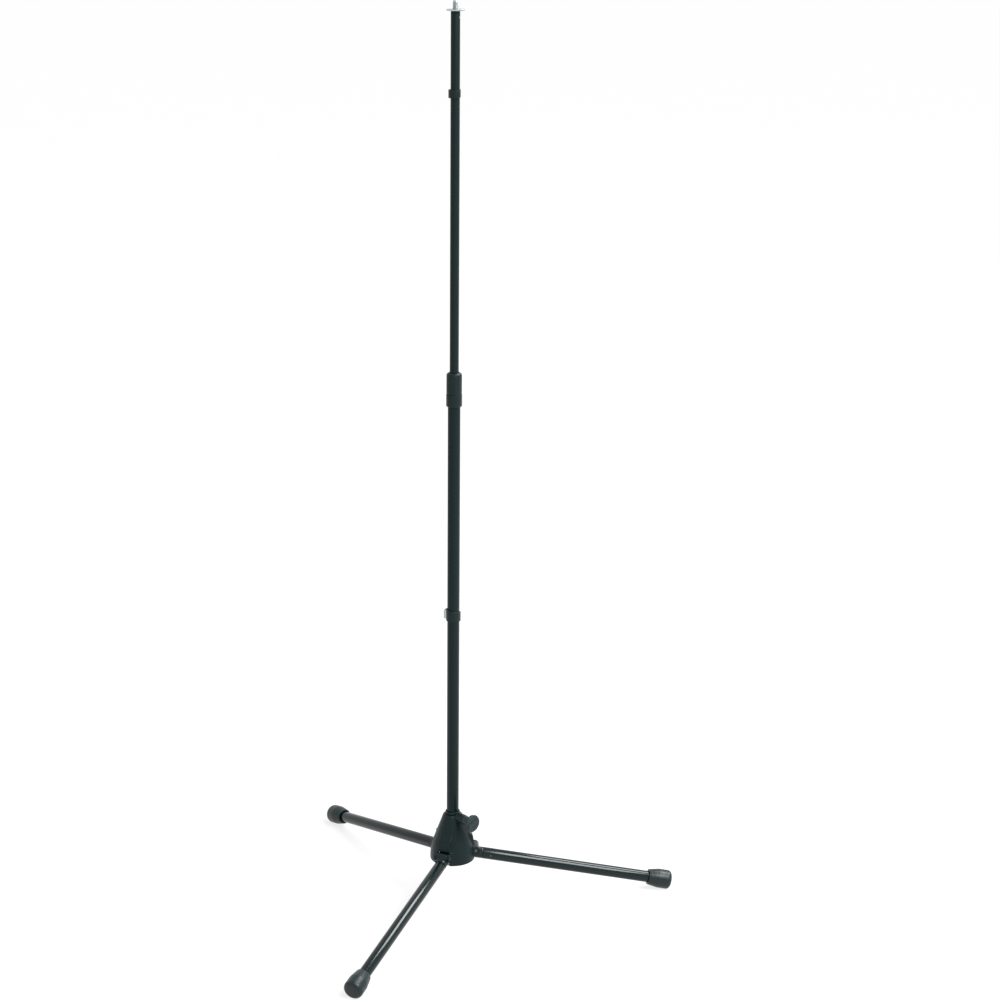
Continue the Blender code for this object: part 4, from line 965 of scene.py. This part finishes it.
class NeckBush(Operator):
    """Model the plastic sleeve between the hub's neck and the mast."""

    bl_idname = "stand.neck_bush"
    bl_label = "Neck bush"

    def execute(self, context):
        edge = context.scene.stand_sizes.edge_round
        seat = HUB_TOP + GAP
        bottom = HUB_CAVITY_TOP + GAP
        section = [
            (BUSH_FLANGE_RADIUS, BUSH_TOP, edge * BUSH_EDGE),
            (BUSH_FLANGE_RADIUS, seat, edge * SEAM_EDGE),
            (BUSH_RADIUS, seat), (BUSH_RADIUS, bottom, edge * SEAM_EDGE), (BUSH_BORE, bottom),
            (BUSH_BORE, BUSH_TOP, edge * INNER_EDGE),
        ]
        bush = turn_piece("neck_sleeve", UPRIGHT, section)
        hole = rod_piece(
            "pad_hole", CLAMP_LINE, SCREW_RADIUS + GAP, 0.0, HUB_SHOULDER_RADIUS, steps=BORE_STEPS
        )
        combine(bush, hole, "DIFFERENCE")
        finish(bush, "base", "black_plastic", ["neck_bush"])
        return {"FINISHED"}


class LegKnuckles(Operator):
    """Model the cast knuckle at the head of a leg, and copy it for the other legs."""

    bl_idname = "stand.leg_knuckles"
    bl_label = "Leg knuckles"

    def execute(self, context):
        sizes = context.scene.stand_sizes
        edge = sizes.edge_round
        inner = LEG_TUBE_RADIUS - COLLAR_SEAM
        knuckle = rod_piece(
            "knuckle_of_leg_1", LEG_LINE, inner, -COLLAR_INNER_LENGTH, COLLAR_LENGTH / 2.0, steps=64
        )
        wide, far = LEG_TUBE_RADIUS * 2.0, NOSE_RADIUS * 5.0
        limit = turn_piece(
            "nose_limit", ACROSS_PIVOT,
            [
                (NOSE_RADIUS, wide), (NOSE_RADIUS * 4.0, wide), (NOSE_RADIUS * 4.0, -wide),
                (NOSE_RADIUS, -wide),
            ],
        )
        half = plate_piece(
            "outer_half", ACROSS_PIVOT, [(0.0, -far), (far, -far), (far, far), (0.0, far)],
            LEG_TUBE_RADIUS * 3.0,
        )
        combine(limit, half, "DIFFERENCE")
        combine(knuckle, limit, "DIFFERENCE")
        side = axis_frame((0.0, -1.0, 0.0), LEG_PIVOT, (1.0, 0.0, 0.0))
        shoulder = EAR_RADIUS + NOSE_SHOULDER
        nose = arc_points((0.0, 0.0), NOSE_RADIUS, NOSE_TOP, NOSE_BOTTOM, 32)
        nose += [
            (EAR_RADIUS / 2.0, -EAR_RADIUS), (EAR_RADIUS / 2.0, EAR_RADIUS / 2.0),
            (shoulder * math.cos(NOSE_TOP), shoulder * math.sin(NOSE_TOP)),
        ]
        combine(knuckle, plate_piece("nose", side, nose, NOSE_HALF_WIDTH), "UNION")
        boss_half = SLOT_HALF_WIDTH - GAP
        boss = rod_piece("boss", ACROSS_PIVOT, EAR_RADIUS - GAP, -boss_half, boss_half, steps=64)
        combine(knuckle, boss, "UNION")
        soften(knuckle, sizes.casting_grid * KNUCKLE_GRID_SHARE, *KNUCKLE_SOFTENING)
        spigot_radius = LEG_TUBE_BORE - GAP
        spigot_end = COLLAR_LENGTH + SPIGOT_LENGTH
        collar = turn_piece(
            "collar", LEG_LINE,
            [
                (0.0, spigot_end), (spigot_radius, spigot_end, edge),
                (spigot_radius, COLLAR_LENGTH), (LEG_TUBE_RADIUS, COLLAR_LENGTH, edge),
                (LEG_TUBE_RADIUS, COLLAR_START, edge * SEAM_EDGE), (0.0, COLLAR_START),
            ],
        )
        combine(knuckle, collar, "UNION")
        hole = rod_piece(
            "pin_hole", ACROSS_PIVOT, PIN_RADIUS + GAP, -EAR_OUTER, EAR_OUTER, steps=PIN_STEPS
        )
        combine(knuckle, hole, "DIFFERENCE")
        finish_legs(
            knuckle, "leg_{}", "black_cast", "leg_knuckle", all_smooth=True, coat="gloss_cast"
        )
        return {"FINISHED"}


class LegTubes(Operator):
    """Model the tube of a leg, and copy it for the other legs."""

    bl_idname = "stand.leg_tubes"
    bl_label = "Leg tubes"

    def execute(self, context):
        edge = context.scene.stand_sizes.edge_round
        start = COLLAR_LENGTH + GAP
        end = LEG_END - FOOT_END_WALL - GAP
        section = [
            (LEG_TUBE_RADIUS, end, edge), (LEG_TUBE_RADIUS, start, edge),
            (LEG_TUBE_BORE, start, edge * INNER_EDGE), (LEG_TUBE_BORE, end, edge * INNER_EDGE),
        ]
        tube = turn_piece("tube_of_leg_1", LEG_LINE, section)
        hole = rod_piece(
            "rivet_hole", RIVET_LINE, RIVET_RADIUS + GAP, -LEG_TUBE_RADIUS * 2.0,
            LEG_TUBE_RADIUS * 2.0, steps=BORE_STEPS,
        )
        combine(tube, hole, "DIFFERENCE")
        finish_legs(tube, "leg_{}", "gloss_paint", "leg_tube")
        return {"FINISHED"}


class LegFasteners(Operator):
    """Model the pivot pin and the rivet of a leg, and copy them for the other legs."""

    bl_idname = "stand.leg_fasteners"
    bl_label = "Leg pins and rivets"

    def execute(self, context):
        edge = context.scene.stand_sizes.edge_round
        pin = rod_piece(
            "pin_of_leg_1", ACROSS_PIVOT, PIN_RADIUS, -EAR_OUTER, EAR_OUTER, edge, PIN_STEPS
        )
        finish_legs(pin, "base", "dark_steel", "leg_pin")
        half = LEG_TUBE_RADIUS
        rivet = rod_piece(
            "rivet_of_leg_1", RIVET_LINE, RIVET_RADIUS, -half, half, edge, BORE_STEPS
        )
        finish_legs(rivet, "leg_{}", "dark_steel", "leg_rivet")
        return {"FINISHED"}


class RubberFeet(Operator):
    """Model the rubber foot of a leg, cut flat on the floor, and copy it."""

    bl_idname = "stand.rubber_feet"
    bl_label = "Rubber feet"

    def execute(self, context):
        edge = context.scene.stand_sizes.edge_round
        tip = LEG_END - FOOT_TIP_EASE
        rim = LEG_END - FOOT_LENGTH
        full = rim + FOOT_FLARE
        bore = LEG_TUBE_RADIUS + GAP
        bore_end = LEG_END - FOOT_END_WALL
        section = [
            (0.0, tip), (FOOT_RADIUS, tip, FOOT_END_ROUND),
            (FOOT_RADIUS, full, FOOT_FLARE_ROUND), (FOOT_RIM_RADIUS, rim, edge * FOOT_RIM_EDGE),
            (bore, rim, edge), (bore, bore_end), (0.0, bore_end),
        ]
        foot = turn_piece("foot_of_leg_1", LEG_LINE, section, steps=128)
        edit(foot)
        cut_level(0.0, -1.0)
        close_up(foot)
        finish_legs(foot, "leg_{}", "black_rubber", "leg_foot")
        return {"FINISHED"}


class SpreaderCone(Operator):
    """Model the cone at the foot of the mast that locks the open legs."""

    bl_idname = "stand.spreader_cone"
    bl_label = "Spreader cone"

    def execute(self, context):
        edge = context.scene.stand_sizes.edge_round
        spigot = LOWER_TUBE_BORE - GAP
        section = [
            (spigot, CONE_TOP + CONE_SPIGOT, edge), (spigot, CONE_TOP),
            (CONE_TOP_RADIUS, CONE_TOP, edge), (CONE_TOP_RADIUS, CONE_TOP - CONE_RIM, edge),
            (CONE_BOTTOM_RADIUS, CONE_BOTTOM, edge), (CONE_BORE, CONE_BOTTOM, edge),
            (CONE_BORE, CONE_TOP + CONE_SPIGOT, edge),
        ]
        cone = turn_piece("leg_spreader", UPRIGHT, section)
        finish(cone, "mast", "black_plastic", ["spreader_cone"])
        return {"FINISHED"}


class HeightClutch(Operator):
    """Model the fixed housing and the turning grip of the height clutch."""

    bl_idname = "stand.height_clutch"
    bl_label = "Height clutch"

    def execute(self, context):
        sizes = context.scene.stand_sizes
        edge = sizes.edge_round
        ledge = LOWER_TUBE_TOP + GAP
        housing = turn_piece(
            "clutch_lower_part", UPRIGHT,
            [
                (COLLET_SEAT, CLUTCH_THREAD_TOP),
                (CLUTCH_THREAD_RADIUS, CLUTCH_THREAD_TOP, edge),
                (CLUTCH_THREAD_RADIUS, CLUTCH_SPLIT), (HOUSING_RADIUS, CLUTCH_SPLIT, edge),
                (HOUSING_RADIUS, CLUTCH_BOTTOM, edge * HOUSING_EDGE),
                (HOUSING_BORE, CLUTCH_BOTTOM, edge * INNER_EDGE), (HOUSING_BORE, ledge),
                (CLUTCH_BORE, ledge), (CLUTCH_BORE, COLLET_BOTTOM - GAP),
                (COLLET_TIP_SEAT, COLLET_BOTTOM - GAP),
                (COLLET_TIP_SEAT, CLUTCH_THREAD_TOP - COLLET_TAPER),
            ],
        )
        finish(housing, "mast", "black_plastic", ["clutch_housing"])
        lip = CLUTCH_TOP - GRIP_LIP
        bevel_middle = CLUTCH_TOP - GRIP_BEVEL / 2.0
        grip = turn_piece(
            "clutch_hand_grip", UPRIGHT,
            [
                (GRIP_MOUTH, CLUTCH_TOP, edge), (GRIP_RADIUS - GRIP_BEVEL_STEP, bevel_middle, edge),
                (GRIP_RADIUS, CLUTCH_TOP - GRIP_BEVEL, edge),
                (GRIP_RADIUS, CLUTCH_SPLIT + GAP, edge), (GRIP_BORE, CLUTCH_SPLIT + GAP),
                (GRIP_BORE, lip), (CLUTCH_BORE, lip), (CLUTCH_BORE, CLUTCH_TOP, edge),
            ],
            steps=GRIP_STEPS,
        )
        cut_round(
            grip, UPRIGHT, sizes.grip_grooves, GROOVE_RADIUS,
            GRIP_RADIUS + GROOVE_RADIUS - sizes.grip_groove_depth, CLUTCH_SPLIT + GROOVE_START,
            bevel_middle, GROOVE_RADIUS * GROOVE_END_SHARE, GROOVE_TURN,
        )
        finish(grip, "clutch_grip", "black_plastic", ["clutch_grip"], angle=28.0)
        return {"FINISHED"}


class ClampKnob(Operator):
    """Model the fluted clamp knob with the bar across its face."""

    bl_idname = "stand.clamp_knob"
    bl_label = "Clamp knob"

    def execute(self, context):
        sizes = context.scene.stand_sizes
        flare = KNOB_START + KNOB_STEM_LENGTH
        disc = flare + KNOB_FLARE
        face = disc + KNOB_DISC_LENGTH
        bore = SCREW_RADIUS + GAP
        bore_end = KNOB_START + KNOB_BORE_DEPTH
        knob = turn_piece(
            "knob", CLAMP_LINE,
            [
                (0.0, face), (KNOB_DISC_RADIUS, face, KNOB_FACE_ROUND),
                (KNOB_DISC_RADIUS, disc, KNOB_RIM_ROUND),
                (KNOB_STEM_RADIUS, flare, KNOB_FLARE_ROUND),
                (KNOB_STEM_RADIUS, KNOB_START, KNOB_FOOT_ROUND),
                (bore, KNOB_START), (bore, bore_end), (0.0, bore_end),
            ],
            steps=128,
        )
        cut_round(
            knob, CLAMP_LINE, sizes.knob_flutes, KNOB_FLUTE_RADIUS,
            KNOB_DISC_RADIUS + KNOB_FLUTE_RADIUS - sizes.knob_flute_depth, flare,
            face + KNOB_FLUTE_OVERRUN,
        )
        reach = (KNOB_BAR_LENGTH - KNOB_BAR_WIDTH) / 2.0
        half_pi = math.pi / 2.0
        outline = arc_points((reach, 0.0), KNOB_BAR_WIDTH / 2.0, -half_pi, half_pi, 12)
        outline += arc_points((-reach, 0.0), KNOB_BAR_WIDTH / 2.0, half_pi, half_pi * 3.0, 12)
        middle = face + KNOB_BAR_RISE / 2.0 - KNOB_BAR_SINK
        turned = Matrix.Rotation(KNOB_BAR_TURN, 4, "Z")
        place = CLAMP_LINE @ turned @ Matrix.Translation((0.0, 0.0, middle))
        bar = plate_piece("bar", place, outline, KNOB_BAR_RISE / 2.0 + KNOB_BAR_SINK)
        combine(knob, bar, "UNION")
        soften(knob, sizes.knob_grid, *KNOB_SOFTENING)
        # The knob takes the paler coat, painted light, in place of the plain black plastic of its slot.
        finish(
            knob, "clamp_knob", "black_plastic", ["clamp_knob"], all_smooth=True,
            coat="knob_plastic",
        )
        return {"FINISHED"}


class StudAndDisc(Operator):
    """Model the threaded stud and the knurled lock disc on the top of the mast."""

    bl_idname = "stand.stud_and_disc"
    bl_label = "Stud and lock disc"

    def execute(self, context):
        sizes = context.scene.stand_sizes
        edge = sizes.edge_round
        pitch = sizes.thread_pitch
        root = STUD_RADIUS - sizes.thread_depth
        core = root - GAP
        turns = math.ceil((STUD_TOP - DISC_TOP) / pitch) + 2
        low = STUD_TOP - turns * pitch
        middle, crest = low + pitch / 2.0, pitch * THREAD_CREST_SHARE
        section = (
            (root, low), (STUD_RADIUS, middle - crest), (STUD_RADIUS, middle + crest),
            (root, low + pitch),
        )
        thread = draw_line("thread", [Vector((MAST_X + x, 0.0, z)) for x, z in section])
        bpy.ops.object.mode_set(mode="OBJECT")
        bpy.ops.object.transform_apply(location=True, rotation=True, scale=True)
        bpy.context.scene.cursor.location = (MAST_X, 0.0, 0.0)
        bpy.ops.object.origin_set(type="ORIGIN_CURSOR")
        apply_modifier(
            thread, "SCREW", axis="Z", angle=FULL_TURN, screw_offset=pitch, iterations=turns,
            steps=48, render_steps=48, use_merge_vertices=True, merge_threshold=MERGE_DISTANCE,
        )
        edit(thread)
        cut_level(DISC_TOP - pitch / 2.0, -1.0)
        cut_level(STUD_TOP, 1.0)
        close_up(thread)
        envelope = turn_piece(
            "envelope", UPRIGHT,
            [
                (0.0, STUD_TOP), (STUD_TIP_RADIUS, STUD_TOP, STUD_TIP_ROUND),
                (STUD_RADIUS + GAP, STUD_TOP - STUD_TAPER),
                (STUD_RADIUS + GAP, DISC_TOP - pitch), (0.0, DISC_TOP - pitch),
            ],
            steps=64,
        )
        combine(thread, envelope, "INTERSECT")
        spigot = turn_piece(
            "stud_thread", UPRIGHT,
            [
                (0.0, DISC_TOP + pitch), (core, DISC_TOP + pitch),
                (core, UPPER_TUBE_TOP), (STUD_SPIGOT_RADIUS, UPPER_TUBE_TOP),
                (STUD_SPIGOT_RADIUS, UPPER_TUBE_TOP - STUD_SPIGOT_LENGTH, edge),
                (0.0, UPPER_TUBE_TOP - STUD_SPIGOT_LENGTH),
            ],
            steps=64,
        )
        combine(spigot, thread, "UNION")
        edit(spigot)
        close_up(spigot)
        finish(spigot, "upper_mast", "zinc", ["thread_stud"])

        bottom = DISC_TOP - DISC_THICKNESS
        rim, bore = DISC_RADIUS - DISC_CHAMFER_IN, STUD_RADIUS + GAP
        steps = sizes.disc_knurls * STEPS_IN_KNURL
        disc = turn_piece(
            "knurled_disc", UPRIGHT,
            [
                (rim, DISC_TOP), (DISC_RADIUS, DISC_TOP - DISC_CHAMFER_DOWN),
                (DISC_RADIUS, bottom + DISC_CHAMFER_DOWN), (rim, bottom),
                (bore, bottom, DISC_BORE_ROUND), (bore, DISC_TOP, DISC_BORE_ROUND),
            ],
            steps=steps,
        )
        edit(disc)
        bpy.ops.mesh.select_all(action="DESELECT")
        bpy.ops.object.mode_set(mode="OBJECT")
        limit = DISC_RADIUS - KNURL_BAND
        for corner in disc.data.vertices:
            x, y = corner.co.x - MAST_X, corner.co.y
            step = round(math.atan2(y, x) / FULL_TURN * steps)
            corner.select = math.hypot(x, y) > limit and step % STEPS_IN_KNURL == 0
        bpy.ops.object.mode_set(mode="EDIT")
        scale = 1.0 - sizes.knurl_depth / DISC_RADIUS
        bpy.ops.transform.resize(value=(scale, scale, 1.0), center_override=(MAST_X, 0.0, 0.0))
        close_up(disc)
        finish(disc, "lock_disc", "zinc", ["lock_disc"], angle=25.0)
        return {"FINISHED"}


class CableClips(Operator):
    """Model the two snap-on rings and their sprung cable hooks."""

    bl_idname = "stand.cable_clips"
    bl_label = "Cable clips"

    def execute(self, context):
        edge = context.scene.stand_sizes.edge_round
        small = edge * INNER_EDGE
        for name, clip in CLIPS.items():
            body, radius = name + "_clip", clip["radius"]
            height, half = clip["height"], clip["length"] / 2.0
            place = UPRIGHT @ Matrix.Translation((0.0, 0.0, height))
            hook_way = math.radians(clip["hook"])
            opening = math.radians(clip["opening"])
            ring = turn_piece(
                body + "_ring", place,
                [
                    (radius, half, edge), (radius, -half, edge), (clip["bore"], -half, small),
                    (clip["bore"], half, small),
                ],
                steps=72, angle=FULL_TURN - opening, start=hook_way + math.pi + opening / 2.0,
            )
            round_ends(ring, edge)
            slope = math.tan(math.radians(clip["slant"]))
            lean_top(ring, height, half, slope, radius)
            finish(ring, body, "black_plastic", [body])

            outer, end = HOOK_BORE + HOOK_WALL, HOOK_LENGTH / 2.0
            reach = radius + GAP + HOOK_BORE + HOOK_WALL
            shift = (reach * math.cos(hook_way), reach * math.sin(hook_way), -slope * HOOK_LENGTH)
            hook = turn_piece(
                body + "_spring", place @ Matrix.Translation(shift),
                [
                    (outer, end, small), (outer, -end, small), (HOOK_BORE, -end, small),
                    (HOOK_BORE, end, small),
                ],
                steps=64, angle=FULL_TURN - HOOK_MOUTH,
                start=hook_way - HOOK_MOUTH_TURN + HOOK_MOUTH / 2.0,
            )
            round_ends(hook, small)
            finish(hook, body, "zinc", [body + "_hook"])
        return {"FINISHED"}


def lean_top(ring, height, half, slope, radius):
    """Slope the top of a ring down towards +X, and level its bottom with the lowest place."""
    for corner in ring.data.vertices:
        share = (corner.co.z - height + half) / (2.0 * half)
        corner.co.z -= slope * (share * (corner.co.x - MAST_X) + (1.0 - share) * radius)


def round_ends(piece, size):
    """Round the two cut ends of a bent strip, which are its largest flat faces."""
    edit(piece)
    bpy.ops.mesh.select_all(action="DESELECT")
    bpy.ops.object.mode_set(mode="OBJECT")
    faces = sorted(piece.data.polygons, key=lambda face: len(face.vertices))[-2:]
    for face in faces:
        face.select = True
    bpy.ops.object.mode_set(mode="EDIT")
    bpy.ops.mesh.region_to_loop()
    bpy.ops.mesh.bevel(offset=size, segments=3, affect="EDGES", clamp_overlap=True)
    close_up(piece)


class KeptPieces(Operator):
    """Give the small and hidden CAD pieces that stay their finishes."""

    bl_idname = "stand.kept_pieces"
    bl_label = "Kept pieces"

    def execute(self, context):
        slots = {part["node"]: part["material_slot"] for part in frame["record"]["subparts"]}
        for node, piece in frame["nodes"].items():
            if piece.hide_render:
                continue
            material = stand_material(slots[node])
            if piece.material_slots:
                for slot in piece.material_slots:
                    slot.material = material
            else:
                piece.data.materials.append(material)
        return {"FINISHED"}


# Stage

def seen_directly(tree):
    """1 where the camera, a gloss or a glass shows a surface, and 0 where it only lights."""
    path = tree.nodes.new("ShaderNodeLightPath")
    seen = math_node(
        tree, "MAXIMUM", path.outputs["Is Camera Ray"], path.outputs["Is Glossy Ray"]
    )
    return math_node(tree, "MAXIMUM", seen, path.outputs["Is Transmission Ray"])


def floor_material(colour):
    """A floor that shows white and keeps a faint shadow, and lights as pale paint."""
    material = bpy.data.materials.new("floor_finish")
    material.use_nodes = True
    tree = material.node_tree
    tree.nodes.remove(tree.nodes["Principled BSDF"])
    pale = tree.nodes.new("ShaderNodeBsdfDiffuse")
    pale.inputs["Color"].default_value = (*colour, 1.0)
    dim = tree.nodes.new("ShaderNodeBsdfDiffuse")
    dim.inputs["Color"].default_value = shade(colour, FLOOR_SHADOW)
    place = tree.nodes.new("ShaderNodeTexCoord")
    reach = tree.nodes.new("ShaderNodeVectorMath")
    reach.operation = "LENGTH"
    tree.links.new(place.outputs["Object"], reach.inputs[0])
    away = spread_node(tree, reach.outputs["Value"], *LAMP_REACH)
    glow = tree.nodes.new("ShaderNodeEmission")
    glow.inputs["Strength"].default_value = 1.0
    near, far = (shade((1.0, 1.0, 1.0), share) for share in FLOOR_GLOW)
    tree.links.new(mix_colours(tree, away, near, far), glow.inputs["Color"])
    lit = tree.nodes.new("ShaderNodeAddShader")
    tree.links.new(dim.outputs[0], lit.inputs[0])
    tree.links.new(glow.outputs[0], lit.inputs[1])
    switch = tree.nodes.new("ShaderNodeMixShader")
    tree.links.new(seen_directly(tree), switch.inputs[0])
    tree.links.new(pale.outputs[0], switch.inputs[1])
    tree.links.new(lit.outputs[0], switch.inputs[2])
    tree.links.new(switch.outputs[0], tree.nodes["Material Output"].inputs["Surface"])
    return material


def light_world(strength):
    world = bpy.data.worlds.new("studio")
    bpy.context.scene.world = world
    world.use_nodes = True
    tree = world.node_tree
    background = tree.nodes["Background"]
    background.inputs["Color"].default_value = (1.0, 1.0, 1.0, 1.0)
    span = math_node(tree, "MULTIPLY", seen_directly(tree), 1.0 - strength)
    tree.links.new(math_node(tree, "ADD", span, strength), background.inputs["Strength"])


def add_lamp(name, place, size, power):
    deselect()
    bpy.ops.object.light_add(type="AREA", location=place)
    lamp = bpy.context.object
    lamp.name = name
    lamp.data.shape = "RECTANGLE"
    lamp.data.size, lamp.data.size_y = size
    lamp.data.energy = power


class Stage(Operator):
    """Lay the floor, light it, and set the camera at the photograph's angle."""

    bl_idname = "stand.stage"
    bl_label = "Stage"

    def execute(self, context):
        stage = context.scene.stand_stage
        deselect()
        bpy.ops.mesh.primitive_plane_add(size=FLOOR_SIZE, location=(0.0, 0.0, -FLOOR_DEPTH))
        floor = context.object
        floor.name = "floor"
        bpy.ops.object.transform_apply(location=True, rotation=True, scale=True)
        floor.data.materials.append(floor_material(tuple(stage.floor_colour)))
        light_world(stage.surround)
        add_lamp("key_lamp", KEY_PLACE, KEY_SIZE, stage.key_power)
        add_lamp("back_lamp", BACK_PLACE, BACK_SIZE, stage.back_power)

        forward = Vector((
            math.cos(CAMERA_AZIMUTH) * math.cos(CAMERA_TILT),
            math.sin(CAMERA_AZIMUTH) * math.cos(CAMERA_TILT),
            -math.sin(CAMERA_TILT),
        ))
        level = Vector((math.sin(CAMERA_AZIMUTH), -math.cos(CAMERA_AZIMUTH), 0.0))
        upward = level.cross(forward)
        right = level * math.cos(CAMERA_ROLL) + upward * math.sin(CAMERA_ROLL)
        up = upward * math.cos(CAMERA_ROLL) - level * math.sin(CAMERA_ROLL)
        turn = Matrix((right, up, -forward)).transposed().to_euler()
        bpy.ops.object.camera_add(location=CAMERA_PLACE, rotation=turn)
        camera = context.object
        camera.name = "photo_camera"
        camera.data.lens = CAMERA_LENS
        camera.data.sensor_width = CAMERA_SENSOR
        context.scene.camera = camera
        context.scene.view_settings.view_transform = "Standard"
        return {"FINISHED"}


class StandPanel(Panel):
    """Lists the stand's sizes, colours and modelling steps."""

    bl_idname = "VIEW3D_PT_stand"
    bl_label = "Microphone stand"
    bl_space_type = "VIEW_3D"
    bl_region_type = "UI"
    bl_category = "Stand"

    def draw(self, context):
        layout = self.layout
        for group in (
            context.scene.stand_sizes, context.scene.stand_colours, context.scene.stand_stage,
        ):
            box = layout.box()
            for name in group.__annotations__:
                box.prop(group, name)
        for step in STEPS:
            layout.operator(step.bl_idname)


STEPS = (
    Stage, MastTubes, HubCasting, NeckBush, LegKnuckles, LegTubes, LegFasteners, RubberFeet,
    SpreaderCone, HeightClutch, ClampKnob, StudAndDisc, CableClips, KeptPieces,
)
GROUPS = {"stand_sizes": StandSizes, "stand_colours": StandColours, "stand_stage": StandStage}


def register():
    for group in GROUPS.values():
        bpy.utils.register_class(group)
    for step in STEPS:
        bpy.utils.register_class(step)
    bpy.utils.register_class(StandPanel)
    for name, group in GROUPS.items():
        setattr(bpy.types.Scene, name, PointerProperty(type=group))


def unregister():
    for name in GROUPS:
        delattr(bpy.types.Scene, name)
    for group in reversed([*GROUPS.values(), *STEPS, StandPanel]):
        bpy.utils.unregister_class(group)


def main():
    """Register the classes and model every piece."""
    register()
    bpy.ops.stand.stage()
    bpy.ops.stand.mast_tubes()
    bpy.ops.stand.hub_casting()
    bpy.ops.stand.neck_bush()
    bpy.ops.stand.leg_knuckles()
    bpy.ops.stand.leg_tubes()
    bpy.ops.stand.leg_fasteners()
    bpy.ops.stand.rubber_feet()
    bpy.ops.stand.spreader_cone()
    bpy.ops.stand.height_clutch()
    bpy.ops.stand.clamp_knob()
    bpy.ops.stand.stud_and_disc()
    bpy.ops.stand.cable_clips()
    bpy.ops.stand.kept_pieces()


if __name__ == "__main__":
    main()
